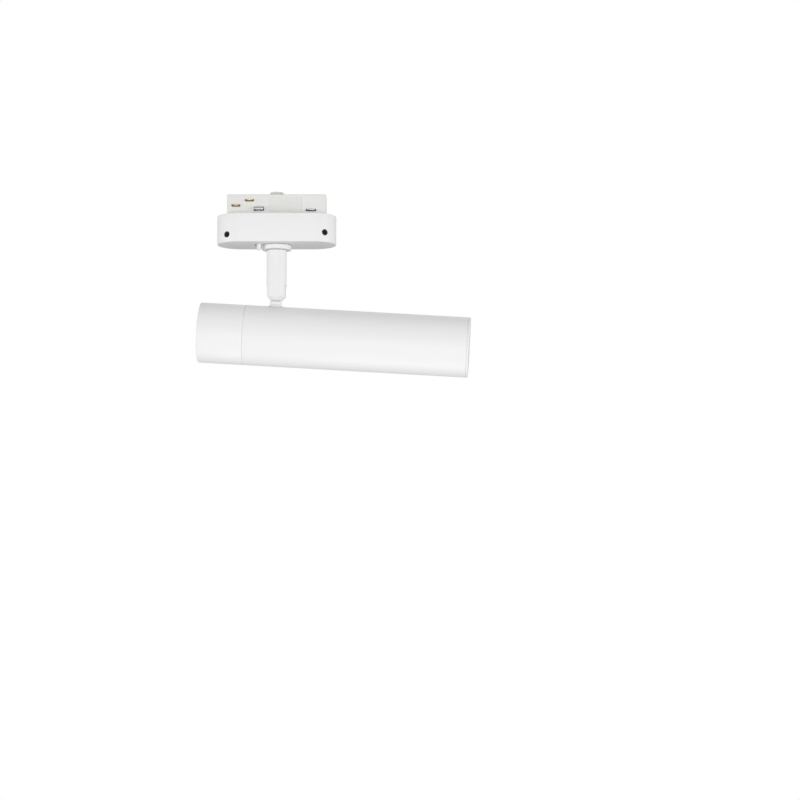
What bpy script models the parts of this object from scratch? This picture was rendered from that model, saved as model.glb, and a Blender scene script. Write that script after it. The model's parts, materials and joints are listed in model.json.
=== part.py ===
"""Track spotlight: a slim tubular head on a swivel stem under an oval track adapter.

The origin is the centre of the adapter's seat on the track. +X runs along the track
towards the lamp's front, +Y to the back and +Z up into the track. Lengths are in metres.
"""

import math

import bmesh
import bpy
from mathutils import Matrix, Vector

# Clearances
GAP = 0.0003
MERGE = 0.00001
THROUGH = 0.001  # how far a cutting tool runs past the face that it opens
SLOT_SPARE = 0.0004

# Adapter
ADAPTER_LENGTH = 0.0795
ADAPTER_WIDTH = 0.033
ADAPTER_HEIGHT = 0.0193
ADAPTER_WALL = 0.0016
ADAPTER_FLOOR = 0.002
PLATE_THICKNESS = 0.002
INSERT_LENGTH = 0.066
INSERT_WIDTH = 0.015
INSERT_HEIGHT = 0.014
INSERT_WALL = 0.0015
FLOOR_TOP = ADAPTER_FLOOR - ADAPTER_HEIGHT
END_RADIUS = ADAPTER_WIDTH / 2
END_CENTRE = ADAPTER_LENGTH / 2 - END_RADIUS
POST_RADIUS = 0.0033
POST_DEPTH = 0.0059
POST_BOTTOM = -0.0168
PAN_STOP_RADIUS = 0.0011
PAN_STOP_OFFSET = -0.0086
PAN_STOP_BOTTOM = -0.0142

# Grub screws in the front of the housing: their angle round each end, and their own lean
GRUB_ANGLE = math.radians(34)
GRUB_LEAN = math.radians(12)
GRUB_RADIUS = 0.0020
GRUBS = (("left", -1, -0.0142), ("right", 1, -0.0128))
GRUB_RECESS = 0.0005
GRUB_LENGTH = 0.0052
GRUB_SOCKET_RADIUS = 0.0011

# Contacts: each has a name, a place along the insert, a side and a level
CONTACTS = (
    ("contact_line_1", -0.027, -1, 0.0060),
    ("contact_line_2", -0.018, -1, 0.0095),
    ("contact_line_3", -0.027, 1, 0.0060),
    ("contact_neutral", -0.018, 1, 0.0095),
)
CONTACT_HALF = 0.0025
CONTACT_ROOT = 0.0048
CONTACT_TIP = 0.0098
CONTACT_THICKNESS = 0.0008
STRIP_HALF = 0.0018
STRIP_BOTTOM = -0.0022
EARTH_BACK = 0.020
EARTH_FRONT = 0.026
EARTH_LEVEL = 0.0029
EARTH_REACH = 0.0094
SELECTOR_RADIUS = 0.0045
SELECTOR_LOW = 0.0143
SELECTOR_TOP = 0.0163
SHAFT_RADIUS = 0.0022
SHAFT_LOW = 0.0085

# Wiring inside the adapter
TERMINAL_LOW = (-0.033, -0.0035, -0.0169)
TERMINAL_HIGH = (-0.019, 0.0065, -0.0095)
TERMINAL_PITCH = 0.0043
TERMINAL_FIRST = -0.0303
TERMINAL_ROW = 0.0015
TERMINAL_SCREW_LOW = -0.0131
TERMINAL_SCREW_TOP = -0.0098

# Lock: the tab swings round the collar while the latches slide across the track
TAB_ANGLE = math.radians(210)
TAB_RADIUS = 0.0134
TAB_BOTTOM = -0.0234
LOCK_SWING = math.radians(66)
TAB_HALF = 0.0010
TAB_HALF_WIDTH = 0.0014
TAB_CLEARANCE = 0.0004
LEVER_RADIUS = 0.0125
LEVER_LOW = -0.0170
LEVER_TOP = -0.0156
LATCH_PLACE = 0.0117
LATCH_HALF = 0.0030
LATCH_ROOT = 0.0035
LATCH_TIP = 0.0102
LATCH_LOW = 0.0032
LATCH_TOP = 0.0052
LATCH_LEG_HALF = 0.0015
LATCH_LEG_BACK = 0.0055
LATCH_LEG_BOTTOM = -0.0152

# Swivel
COLLAR_RADIUS = 0.0098
COLLAR_BOTTOM = -0.0226
COLLAR_HEIGHT = 0.0030
SPIGOT_RADIUS = 0.0057
SPIGOT_TOP = -0.0150
NIPPLE_RADIUS = 0.0037
NIPPLE_TOP = -0.0080
NIPPLE_BOTTOM = -0.0300
NIPPLE_SEAT = -0.0305
LEAD_RADIUS = 0.0016
LEAD_BORE = LEAD_RADIUS + 0.0007
NIPPLE_BORE = NIPPLE_RADIUS + GAP

# Stem and tilt joint
STEM_RADIUS = 0.0067
STEM_TOP = COLLAR_BOTTOM - GAP
STEM_BOTTOM = -0.0567
FORK_TOP = -0.0465
FORK_HALF_GAP = 0.0028
TILT_HEIGHT = -0.0522
TONGUE_HALF = 0.0017
TONGUE_RADIUS = 0.00375
NECK_TOP = -0.0052
NECK_HALF = 0.0025
NECK_REACH = 0.0038
FOOT_RADIUS = 0.0050
FOOT_TOP = -0.0073
FOOT_BOTTOM = -0.0102
STUD_RADIUS = 0.0030
STUD_BOTTOM = -0.0176
PIN_RADIUS = 0.0015
PIN_BORE = 0.0018
SCREW_HEAD_RADIUS = 0.0026
SCREW_HEAD_LOW = 0.0040
SCREW_HEAD_TOP = 0.0058
SCREW_SEAT_RADIUS = 0.0029
SCREW_SEAT_LOW = 0.0037
FRICTION_WASHER_RADIUS = 0.0034
FRICTION_WASHER_INNER = 0.0020
FRICTION_WASHER_OUTER = 0.0025
PAN_AT_REST = math.radians(-2.0)
TILT_AT_REST = math.radians(3.5)

# Head: lengths run along the tube from the knuckle
TUBE_RADIUS = 0.020
TUBE_INSIDE = 0.0183
TUBE_DROP = 0.0286
REAR_END = -0.0496
FRONT_END = 0.1304
CAP_SHOULDER = -0.0194
CAP_THICKNESS = 0.0025
CAP_INSIDE = 0.0170
SPIGOT_OUTSIDE = 0.0180
CAP_SPIGOT_FRONT = -0.0116
GROOVE_RADIUS = 0.01735
GROOVE_FRONT = -0.0160
GROOVE_BACK = -0.0172
SEAL_RADIUS = 0.01790
SEAL_THICKNESS = 0.00025
SEAM = 0.0004
SOFT_EDGE = 0.00025
STUD_HOLE = 0.0033
BEZEL_BACK = 0.1291
BEZEL_SPIGOT_BACK = 0.1240
BEZEL_SPIGOT_INSIDE = 0.0172
BEZEL_LIP = 0.0159

# Optics, from the glass back to the heat sink
OPTIC_RADIUS = 0.0178
BAFFLE_BACK, BAFFLE_FRONT = 0.1154, 0.1286
BAFFLE_OUTSIDE = 0.0169
BAFFLE_THROAT = 0.0149
BAFFLE_RIM = 0.0012
BAFFLE_RIBS = 3
GLASS_BACK, GLASS_FRONT = 0.1132, 0.1151
GLASS_SEAL_BACK, GLASS_SEAL_FRONT = 0.1121, 0.1129
GLASS_SEAL_INSIDE = 0.0168
REFLECTOR_BACK, REFLECTOR_FRONT = 0.0920, 0.1118
REFLECTOR_THROAT = 0.0084
REFLECTOR_SPREAD = 0.0078
REFLECTOR_POWER = 0.6
REFLECTOR_WALL = 0.0007
REFLECTOR_RIM = 0.0010
HOLDER_BACK, HOLDER_FRONT = 0.0867, 0.0914
HOLDER_INSIDE, HOLDER_OUTSIDE = 0.0086, 0.0174
HOLDER_SCREW_OFFSET = 0.0152
HOLDER_SCREW_RADIUS = 0.0014
SINK_BACK, SINK_DISC_BACK, SINK_FRONT = 0.0420, 0.0795, 0.0840
SINK_FINS = 12
SINK_CORE = 0.0070
SINK_TIP = 0.0179
HALF_FIN = 0.0008

# Driver, on a tray along the tube
TRAY_LOW, TRAY_HIGH = (-0.042, -0.012, -0.0096), (0.034, 0.012, -0.0082)
BOARD_LOW, BOARD_HIGH = (-0.041, -0.0145, -0.0050), (0.033, 0.0145, -0.0034)
STANDOFF_X = (-0.038, 0.030)
STANDOFF_Y = (-0.009, 0.009)
COMPONENT_LEVEL = -0.0031
ROUND_STEPS = 32
TUBE_STEPS = 48

WHITE = (0.86, 0.86, 0.85)
BLACK = (0.02, 0.02, 0.022)
FINISHES = {
    "white_coat": (WHITE, 0.45, 0.0),
    "white_plastic": ((0.82, 0.82, 0.80), 0.5, 0.0),
    "black_steel": ((0.03, 0.03, 0.032), 0.4, 0.8),
    "black_matt": (BLACK, 0.7, 0.0),
    "brass": ((0.75, 0.58, 0.28), 0.3, 1.0),
    "steel": ((0.60, 0.60, 0.61), 0.35, 1.0),
    "aluminium": ((0.77, 0.78, 0.79), 0.35, 1.0),
    "reflector": ((0.90, 0.90, 0.91), 0.12, 1.0),
    "glass": ((0.95, 0.97, 0.97), 0.05, 0.0),
    "rubber": ((0.05, 0.05, 0.05), 0.8, 0.0),
    "circuit_green": ((0.05, 0.22, 0.10), 0.4, 0.0),
    "phosphor": ((0.92, 0.74, 0.18), 0.5, 0.0),
    "nylon": ((0.75, 0.74, 0.68), 0.5, 0.0),
    "copper": ((0.70, 0.36, 0.20), 0.35, 1.0),
}

for old in list(bpy.data.objects):
    bpy.data.objects.remove(old, do_unlink=True)


def collection(name):
    made = bpy.data.collections.new(name)
    bpy.context.scene.collection.children.link(made)
    return made


PARTS = collection("track_spotlight")
CUTTERS = collection("cutters")


def material(name, finish):
    colour, roughness, metallic = FINISHES[finish]
    made = bpy.data.materials.new(name + "_" + finish)
    made.use_nodes = True
    shader = made.node_tree.nodes["Principled BSDF"]
    shader.inputs["Base Color"].default_value = (*colour, 1.0)
    shader.inputs["Roughness"].default_value = roughness
    shader.inputs["Metallic"].default_value = metallic
    made.diffuse_color = (*colour, 1.0)
    return made


def empty(name, parent=None, location=(0, 0, 0), rotation=(0, 0, 0)):
    made = bpy.data.objects.new(name, None)
    PARTS.objects.link(made)
    made.parent = parent
    made.location = location
    made.rotation_euler = rotation
    return made


def add(name, data, frame, finish):
    """A visible part when it has a finish, and otherwise a hidden tool for a Boolean."""
    made = bpy.data.objects.new(name, data)
    made.parent = frame
    if finish:
        PARTS.objects.link(made)
        data.materials.append(material(name, finish))
        return made
    CUTTERS.objects.link(made)
    made.hide_render = True
    made.display_type = "WIRE"
    return made


def smooth(mesh):
    mesh.shade_smooth()
    mesh.set_sharp_from_angle(angle=math.radians(35))


def from_bmesh(name, shape, frame, finish):
    mesh = bpy.data.meshes.new(name)
    shape.to_mesh(mesh)
    shape.free()
    smooth(mesh)
    return add(name, mesh, frame, finish)


def box(name, low, high, frame=None, finish=None, turn=None):
    shape = bmesh.new()
    bmesh.ops.create_cube(shape, size=1.0)
    low, high = Vector(low), Vector(high)
    bmesh.ops.scale(shape, vec=high - low, verts=shape.verts)
    bmesh.ops.translate(shape, vec=(low + high) / 2, verts=shape.verts)
    if turn:
        bmesh.ops.transform(shape, matrix=turn, verts=shape.verts)
    return from_bmesh(name, shape, frame, finish)


def rod(name, start, end, radius, frame=None, finish=None, sides=16):
    shape = bmesh.new()
    start, end = Vector(start), Vector(end)
    reach = end - start
    bmesh.ops.create_cone(
        shape, cap_ends=True, segments=sides, radius1=radius, radius2=radius, depth=reach.length
    )
    turn = reach.to_track_quat("Z", "Y").to_matrix().to_4x4()
    place = Matrix.Translation((start + end) / 2) @ turn
    bmesh.ops.transform(shape, matrix=place, verts=shape.verts)
    return from_bmesh(name, shape, frame, finish)


def turned(name, profile, frame=None, finish=None, steps=ROUND_STEPS, ring=True, along_x=False):
    """A turned shape. The profile of (radius, height) pairs runs down its outer side."""
    mesh = bpy.data.meshes.new(name)
    edges = [(i, i + 1) for i in range(len(profile) - 1)]
    if ring:
        edges.append((len(profile) - 1, 0))
    mesh.from_pydata([(radius, 0, height) for radius, height in profile], edges, [])
    made = add(name, mesh, frame, finish)
    screw = made.modifiers.new("turn", "SCREW")
    screw.axis = "Z"
    screw.steps = steps
    screw.render_steps = steps
    screw.use_merge_vertices = True
    screw.merge_threshold = MERGE
    screw.use_smooth_shade = True
    if along_x:
        made.rotation_euler = (0, math.pi / 2, 0)
    return made


def as_mesh(source, name, frame, finish, turn=None):
    """Replaces a curve object by its welded mesh."""
    bpy.context.view_layer.update()
    graph = bpy.context.evaluated_depsgraph_get()
    mesh = bpy.data.meshes.new_from_object(source.evaluated_get(graph))
    shape = bmesh.new()
    shape.from_mesh(mesh)
    bmesh.ops.remove_doubles(shape, verts=shape.verts, dist=MERGE)
    if turn:
        bmesh.ops.transform(shape, matrix=turn, verts=shape.verts)
    bmesh.ops.recalc_face_normals(shape, faces=shape.faces)
    bpy.data.objects.remove(source, do_unlink=True)
    bpy.data.meshes.remove(mesh)
    return from_bmesh(name, shape, frame, finish)


def poly_curve(name, points, closed):
    data = bpy.data.curves.new(name, "CURVE")
    spline = data.splines.new("POLY")
    spline.points.add(len(points) - 1)
    for point, place in zip(spline.points, points):
        point.co = (*place, 1.0)
    spline.use_cyclic_u = closed
    return data


def plate(name, outline, low, high, frame=None, finish=None, turn=None):
    """A flat outline in XY, extruded from low to high, and then turned."""
    data = poly_curve(name, [(x, y, 0) for x, y in outline], True)
    data.dimensions = "2D"
    data.fill_mode = "BOTH"
    data.extrude = (high - low) / 2
    source = bpy.data.objects.new(name + "_outline", data)
    CUTTERS.objects.link(source)
    lift = Matrix.Translation((0, 0, (low + high) / 2))
    return as_mesh(source, name, frame, finish, turn @ lift if turn else lift)


def wire(name, route, radius, frame, finish, steps=3):
    """A round lead along a smooth curve through the route's points."""
    route = [Vector(point) for point in route]
    ends = [2 * route[0] - route[1]] + route + [2 * route[-1] - route[-2]]
    points = []
    for a, b, c, d in zip(ends, ends[1:], ends[2:], ends[3:]):
        for step in range(steps):
            t = step / steps
            bend = (2 * a - 5 * b + 4 * c - d) * t**2 + (3 * b - a - 3 * c + d) * t**3
            points.append(b + ((c - a) * t + bend) / 2)
    points.append(route[-1])
    data = poly_curve(name, points, False)
    data.dimensions = "3D"
    data.bevel_depth = radius
    data.bevel_resolution = 1
    data.use_fill_caps = True
    source = bpy.data.objects.new(name + "_route", data)
    CUTTERS.objects.link(source)
    return as_mesh(source, name, frame, finish)


def cut(part, *tools):
    for tool in tools:
        modifier = part.modifiers.new("cut_" + tool.name, "BOOLEAN")
        modifier.operation = "DIFFERENCE"
        modifier.solver = "EXACT"
        modifier.object = tool


def unite(part, *tools):
    for tool in tools:
        modifier = part.modifiers.new("join_" + tool.name, "BOOLEAN")
        modifier.operation = "UNION"
        modifier.solver = "EXACT"
        modifier.object = tool


def stadium(length, width, steps=12):
    radius = width / 2
    reach = length / 2 - radius
    points = []
    for side, start in ((1, -90), (-1, 90)):
        for step in range(steps + 1):
            angle = math.radians(start + 180 * step / steps)
            points.append((side * reach + radius * math.cos(angle), radius * math.sin(angle)))
    return points


def ring(name, inside, outside, low, high, frame, finish, steps=24):
    profile = [(inside, high), (outside, high), (outside, low), (inside, low)]
    return turned(name, profile, frame, finish, steps=steps)


def grub_spot(side, depth, height):
    """A point on a grub screw's line, at this depth under the housing's outside."""
    x = END_CENTRE + END_RADIUS * math.sin(GRUB_ANGLE) - depth * math.sin(GRUB_LEAN)
    y = -END_RADIUS * math.cos(GRUB_ANGLE) + depth * math.cos(GRUB_LEAN)
    return (side * x, y, height)



# ---- adapter ----
def adapter_housing():
    outline = stadium(ADAPTER_LENGTH, ADAPTER_WIDTH)
    housing = plate("adapter_housing", outline, -ADAPTER_HEIGHT, 0, None, "white_coat")
    bevel = housing.modifiers.new("soft_edges", "BEVEL")
    bevel.width = 0.0005
    bevel.segments = 1
    bevel.limit_method = "ANGLE"
    bevel.angle_limit = math.radians(40)
    inner = stadium(ADAPTER_LENGTH - 2 * ADAPTER_WALL, ADAPTER_WIDTH - 2 * ADAPTER_WALL)
    cut(housing, plate("housing_inside", inner, FLOOR_TOP, 2 * THROUGH))
    bottom = -ADAPTER_HEIGHT - THROUGH
    hole = SPIGOT_RADIUS + GAP
    cut(housing, rod("spigot_hole", (0, 0, bottom), (0, 0, FLOOR_TOP + THROUGH), hole, sides=24))
    for side, sign, height in GRUBS:
        start = grub_spot(sign, 2 * ADAPTER_WALL + THROUGH, height)
        end = grub_spot(sign, -2 * THROUGH, height)
        cut(housing, rod("grub_hole_" + side, start, end, GRUB_RADIUS + 0.0002, sides=20))
    cut(housing, plate("tab_slot", tab_slot(), bottom, FLOOR_TOP + THROUGH))


def tab_slot():
    """The arc that the lever's tab swings along, round the collar."""
    spare = math.radians(7.5)
    first = TAB_ANGLE - LOCK_SWING - spare
    last = TAB_ANGLE + spare
    steps = 12
    angles = [first + (last - first) * step / steps for step in range(steps + 1)]
    half = TAB_HALF + TAB_CLEARANCE
    outer = [((TAB_RADIUS + half) * math.cos(a), (TAB_RADIUS + half) * math.sin(a)) for a in angles]
    inner = [((TAB_RADIUS - half) * math.cos(a), (TAB_RADIUS - half) * math.sin(a)) for a in angles]
    return outer + inner[::-1]


def adapter_base():
    """The moulded plate that closes the housing, its hollow insert, and its screw posts."""
    inset = 2 * (ADAPTER_WALL + GAP)
    outline = stadium(ADAPTER_LENGTH - inset, ADAPTER_WIDTH - inset)
    base = plate("adapter_base", outline, -PLATE_THICKNESS, 0, None, "white_plastic")
    length, width = INSERT_LENGTH / 2, INSERT_WIDTH / 2
    unite(base, box("insert_block", (-length, -width, -THROUGH), (length, width, INSERT_HEIGHT)))
    for side, sign, _ in GRUBS:
        x, y, _ = grub_spot(sign, POST_DEPTH, 0)
        unite(base, rod("grub_post_" + side, (x, y, POST_BOTTOM), (x, y, -THROUGH), POST_RADIUS))
    low, high = (0, PAN_STOP_OFFSET, PAN_STOP_BOTTOM), (0, PAN_STOP_OFFSET, -THROUGH)
    unite(base, rod("pan_stop_post", low, high, PAN_STOP_RADIUS))
    length, width = length - INSERT_WALL, width - INSERT_WALL
    low, high = (-length, -width, -0.003), (length, width, INSERT_HEIGHT - INSERT_WALL)
    cut(base, box("insert_inside", low, high))
    for side, sign, height in GRUBS:
        start = grub_spot(sign, GRUB_RECESS + GRUB_LENGTH + 2 * SLOT_SPARE, height)
        end = grub_spot(sign, GRUB_RECESS, height)
        cut(base, rod("post_hole_" + side, start, end, GRUB_RADIUS + GAP, sides=20))
    for name, x, sign, level in CONTACTS:
        low, high = side_slot(x, CONTACT_HALF, sign, level, level + CONTACT_THICKNESS)
        cut(base, box(name + "_slot", low, high))
    for sign in (-1, 1):
        low, high = side_slot(sign * LATCH_PLACE, LATCH_HALF, sign, LATCH_LOW, LATCH_TOP)
        cut(base, box("latch_slot", low, high))
    for sign in (-1, 1):
        middle, half = (EARTH_BACK + EARTH_FRONT) / 2, (EARTH_FRONT - EARTH_BACK) / 2
        low, high = side_slot(middle, half, sign, EARTH_LEVEL, EARTH_LEVEL + CONTACT_THICKNESS)
        cut(base, box("earth_slot", low, high))
    top = INSERT_HEIGHT
    hole = SHAFT_RADIUS + GAP
    cut(base, rod("selector_hole", (0, 0, top - 3 * THROUGH), (0, 0, top + THROUGH), hole))


def side_slot(x, half, sign, low, top):
    """The corners of a passage through the insert's side wall."""
    near, far = sorted((sign * 0.0050, sign * 0.0100))
    half += SLOT_SPARE
    return (x - half, near, low - SLOT_SPARE), (x + half, far, top + SLOT_SPARE)


def contacts():
    for name, x, sign, level in CONTACTS:
        near, far = sorted((sign * CONTACT_ROOT, sign * CONTACT_TIP))
        low = (x - CONTACT_HALF, near, level)
        high = (x + CONTACT_HALF, far, level + CONTACT_THICKNESS)
        tongue = box(name, low, high, None, "brass")
        near, far = sorted((sign * CONTACT_ROOT, sign * (CONTACT_ROOT + CONTACT_THICKNESS)))
        low = (x - STRIP_HALF, near, STRIP_BOTTOM)
        high = (x + STRIP_HALF, far, level + CONTACT_THICKNESS / 2)
        unite(tongue, box(name + "_strip", low, high))
    low = (EARTH_BACK, -EARTH_REACH, EARTH_LEVEL)
    high = (EARTH_FRONT, EARTH_REACH, EARTH_LEVEL + CONTACT_THICKNESS)
    clip = box("earth_clip", low, high, None, "steel")
    low, high = (EARTH_BACK + 0.0015, -0.0005, -0.006), (EARTH_FRONT - 0.0015, 0.0003, 0.0033)
    unite(clip, box("earth_strip", low, high))


def terminals():
    block = box("terminal_block", TERMINAL_LOW, TERMINAL_HIGH, None, "nylon")
    low, top, row = TERMINAL_SCREW_LOW, TERMINAL_SCREW_TOP, TERMINAL_ROW
    for number in range(3):
        x = TERMINAL_FIRST + TERMINAL_PITCH * number
        hole = rod("terminal_hole", (x, row, low - SLOT_SPARE), (x, row, top + 0.0018), 0.0018)
        cut(block, hole)
        name = "terminal_screw_%d" % (number + 1)
        screw = rod(name, (x, row, low), (x, row, top), 0.0015, None, "brass")
        half, depth = 0.0003, 0.0007
        cut(screw, box("screw_slot", (x - half, -0.001, top - depth), (x + half, 0.004, top + THROUGH)))


def grub_screws():
    for side, sign, height in GRUBS:
        start = grub_spot(sign, GRUB_RECESS + GRUB_LENGTH, height)
        end = grub_spot(sign, GRUB_RECESS, height)
        screw = rod("grub_screw_" + side, start, end, GRUB_RADIUS, None, "black_steel", sides=20)
        socket = grub_spot(sign, GRUB_RECESS + 0.0014, height)
        mouth = grub_spot(sign, GRUB_RECESS - THROUGH, height)
        cut(screw, rod("grub_socket_" + side, socket, mouth, GRUB_SOCKET_RADIUS, sides=6))


def swivel_bush():
    top = COLLAR_BOTTOM + COLLAR_HEIGHT
    profile = [
        (NIPPLE_BORE, SPIGOT_TOP),
        (SPIGOT_RADIUS, SPIGOT_TOP),
        (SPIGOT_RADIUS, top),
        (COLLAR_RADIUS - 0.0003, top),
        (COLLAR_RADIUS, top - 0.0003),
        (COLLAR_RADIUS, COLLAR_BOTTOM + 0.0007),
        (COLLAR_RADIUS - 0.0002, COLLAR_BOTTOM + 0.0002),
        (COLLAR_RADIUS - 0.0007, COLLAR_BOTTOM),
        (NIPPLE_BORE, COLLAR_BOTTOM),
    ]
    turned("swivel_bush", profile, None, "white_coat")


def lead_in_adapter():
    """From the terminal block over the swivel nut and down through the nipple."""
    route = [(-0.0186, 0.0036, -0.0120), (-0.0165, 0.0036, -0.0116), (-0.0095, 0.0034, -0.0060)]
    route += [(-0.0035, 0.0010, -0.0012), (0, 0, -0.0050), (0, 0, -0.0090), (0, 0, -0.0180)]
    route += [(0, 0, -0.0260)]
    wire("lead_adapter", route, LEAD_RADIUS, None, "white_plastic")


def circuit_selector():
    profile = [
        (0, SELECTOR_TOP),
        (SELECTOR_RADIUS - 0.0003, SELECTOR_TOP),
        (SELECTOR_RADIUS, SELECTOR_TOP - 0.0003),
        (SELECTOR_RADIUS, SELECTOR_LOW),
        (SHAFT_RADIUS, SELECTOR_LOW),
        (SHAFT_RADIUS, SHAFT_LOW),
        (0, SHAFT_LOW),
    ]
    dial = turned("circuit_selector", profile, None, "nylon", steps=24, ring=False)
    depth, reach, half = 0.0008, 0.0035, 0.0005
    low, high = (-reach, -half, SELECTOR_TOP - depth), (reach, half, SELECTOR_TOP + THROUGH)
    cut(dial, box("dial_slot", low, high))
    low, high = (-0.0045, -0.0011, SHAFT_LOW + 0.0002), (0.0045, 0.0011, SHAFT_LOW + 0.0012)
    unite(dial, box("wiper_arm", low, high))


def lock():
    inside = SPIGOT_RADIUS + 0.0004
    lever = ring("lock_lever", inside, LEVER_RADIUS, LEVER_LOW, LEVER_TOP, None, "white_plastic", 32)
    turn = Matrix.Rotation(TAB_ANGLE, 4, "Z")
    low = (TAB_RADIUS - 0.0030, -0.0015, LEVER_LOW + 0.0001)
    high = (TAB_RADIUS + 0.0012, 0.0015, LEVER_TOP - 0.0001)
    unite(lever, box("tab_arm", low, high, turn=turn))
    low = (TAB_RADIUS - TAB_HALF, -TAB_HALF_WIDTH, TAB_BOTTOM)
    high = (TAB_RADIUS + TAB_HALF, TAB_HALF_WIDTH, LEVER_TOP - SLOT_SPARE)
    unite(lever, box("tab", low, high, turn=turn))
    for name, sign in (("latch_front", -1), ("latch_rear", 1)):
        x = sign * LATCH_PLACE
        near, far = sorted((sign * LATCH_ROOT, sign * LATCH_TIP))
        low, high = (x - LATCH_HALF, near, LATCH_LOW), (x + LATCH_HALF, far, LATCH_TOP)
        latch = box(name, low, high, None, "steel")
        near, far = sorted((sign * LATCH_ROOT, sign * LATCH_LEG_BACK))
        low = (x - LATCH_LEG_HALF, near, LATCH_LEG_BOTTOM)
        high = (x + LATCH_LEG_HALF, far, LATCH_LOW + 0.0008)
        unite(latch, box(name + "_leg", low, high))


# ---- stem ----
def across(name, low, high, radius, frame, finish=None, sides=16):
    """A rod along Y at the tilt axis."""
    return rod(name, (0, low, TILT_HEIGHT), (0, high, TILT_HEIGHT), radius, frame, finish, sides)


def stem(pan):
    profile = [
        (NIPPLE_BORE, STEM_TOP),
        (STEM_RADIUS - 0.0003, STEM_TOP),
        (STEM_RADIUS, STEM_TOP - 0.0003),
        (STEM_RADIUS, STEM_BOTTOM + 0.0027),
        (STEM_RADIUS - 0.0004, STEM_BOTTOM + 0.0016),
        (STEM_RADIUS - 0.0013, STEM_BOTTOM + 0.0006),
        (STEM_RADIUS - 0.0026, STEM_BOTTOM),
        (LEAD_BORE, STEM_BOTTOM),
        (LEAD_BORE, NIPPLE_SEAT),
        (NIPPLE_BORE, NIPPLE_SEAT),
    ]
    body = turned("stem", profile, pan, "white_coat")
    low = (-STEM_RADIUS - THROUGH, -FORK_HALF_GAP, STEM_BOTTOM - THROUGH)
    high = (STEM_RADIUS + THROUGH, FORK_HALF_GAP, FORK_TOP)
    cut(body, box("fork_slot", low, high, pan))
    cut(body, across("screw_bore", -0.0053, 0.0045, PIN_BORE, pan))
    cut(body, across("screw_seat", SCREW_SEAT_LOW, STEM_RADIUS + THROUGH, SCREW_SEAT_RADIUS, pan))


def tilt_fixings(pan):
    screw = across("tilt_screw", -0.0050, 0.0045, PIN_RADIUS, pan, "steel")
    unite(screw, across("screw_head", SCREW_HEAD_LOW, SCREW_HEAD_TOP, SCREW_HEAD_RADIUS, pan))
    mouth = SCREW_HEAD_TOP + THROUGH
    cut(screw, across("screw_socket", SCREW_HEAD_TOP - 0.0010, mouth, 0.0012, pan, sides=6))
    for side, sign in (("front", -1), ("rear", 1)):
        name = "friction_washer_" + side
        low, high = sorted((sign * FRICTION_WASHER_INNER, sign * FRICTION_WASHER_OUTER))
        washer = across(name, low, high, FRICTION_WASHER_RADIUS, pan, "steel", sides=20)
        cut(washer, across(name + "_bore", low - THROUGH, high + THROUGH, PIN_BORE, pan))


def swivel_stack(pan):
    """The threaded nipple and what clamps it, from the bush's spigot upwards."""
    ring("stem_nipple", LEAD_BORE, NIPPLE_RADIUS, NIPPLE_BOTTOM, NIPPLE_TOP, pan, "steel")
    ring("thrust_washer", NIPPLE_BORE, 0.0075, -0.0147, -0.0141, pan, "nylon")
    stop = ring("pan_stop_washer", NIPPLE_BORE, 0.0070, -0.0138, -0.0130, pan, "steel")
    unite(stop, box("stop_tooth", (-0.0012, 0.0060, -0.0137), (0.0012, 0.0094, -0.0131), pan))
    ring("spring_washer", NIPPLE_BORE, 0.0066, -0.0127, -0.0121, pan, "steel")
    low, high = -0.0118, -0.0088
    nut = rod("swivel_nut", (0, 0, low), (0, 0, high), 0.0065, pan, "brass", sides=6)
    cut(nut, rod("nut_bore", (0, 0, low - THROUGH), (0, 0, high + THROUGH), NIPPLE_BORE, pan))
    route = [(0, 0, -0.0264), (0, 0, -0.0350), (0, 0, -0.0450)]
    wire("lead_stem", route, LEAD_RADIUS, pan, "white_plastic")


# ---- head, tilt joint side: heights are from the tilt axis ----
def knuckle(tilt):
    """The tongue in the fork, the neck, the foot on the tube, and the stud that enters it."""
    angles = [math.pi * step / 12 for step in range(13)]
    outline = [(TONGUE_RADIUS * math.cos(a), TONGUE_RADIUS * math.sin(a)) for a in angles]
    outline += [(-TONGUE_RADIUS, FOOT_TOP - GAP), (TONGUE_RADIUS, FOOT_TOP - GAP)]
    upright = Matrix.Rotation(math.pi / 2, 4, "X")
    body = plate("knuckle", outline, -TONGUE_HALF, TONGUE_HALF, tilt, "white_coat", turn=upright)
    profile = [
        (0, FOOT_TOP),
        (TONGUE_RADIUS, FOOT_TOP),
        (TONGUE_RADIUS + 0.00025, FOOT_TOP - 0.0004),
        (FOOT_RADIUS - 0.00015, FOOT_TOP - 0.0009),
        (FOOT_RADIUS, FOOT_TOP - 0.0013),
        (FOOT_RADIUS, FOOT_BOTTOM),
        (0, FOOT_BOTTOM),
    ]
    unite(body, turned("knuckle_foot", profile, tilt, steps=24, ring=False))
    low = (-NECK_REACH, -NECK_HALF, FOOT_TOP - 2 * SLOT_SPARE)
    unite(body, box("neck", low, (NECK_REACH, NECK_HALF, NECK_TOP), tilt))
    start, end = (-0.03, 0, -TUBE_DROP), (0.03, 0, -TUBE_DROP)
    cut(body, rod("tube_envelope", start, end, TUBE_RADIUS + GAP, tilt, sides=64))
    stud_top = (0, 0, FOOT_TOP - 0.0007)
    unite(body, rod("knuckle_stud", (0, 0, STUD_BOTTOM), stud_top, STUD_RADIUS, tilt))
    cut(body, rod("knuckle_bore", (0, 0, STUD_BOTTOM - THROUGH), (0, 0, -0.0060), 0.0019, tilt))
    cut(body, rod("pin_bore", (0, -0.005, 0), (0, 0.005, 0), PIN_BORE, tilt))


# ---- head, tube side: x runs along the tube, and z is from its centreline ----
def from_top(name, low, high, radius, tube, finish=None, sides=20):
    """An upright rod over the tube's middle, where the knuckle's stud comes in."""
    return rod(name, (0, 0, low), (0, 0, high), radius, tube, finish, sides)


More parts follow.
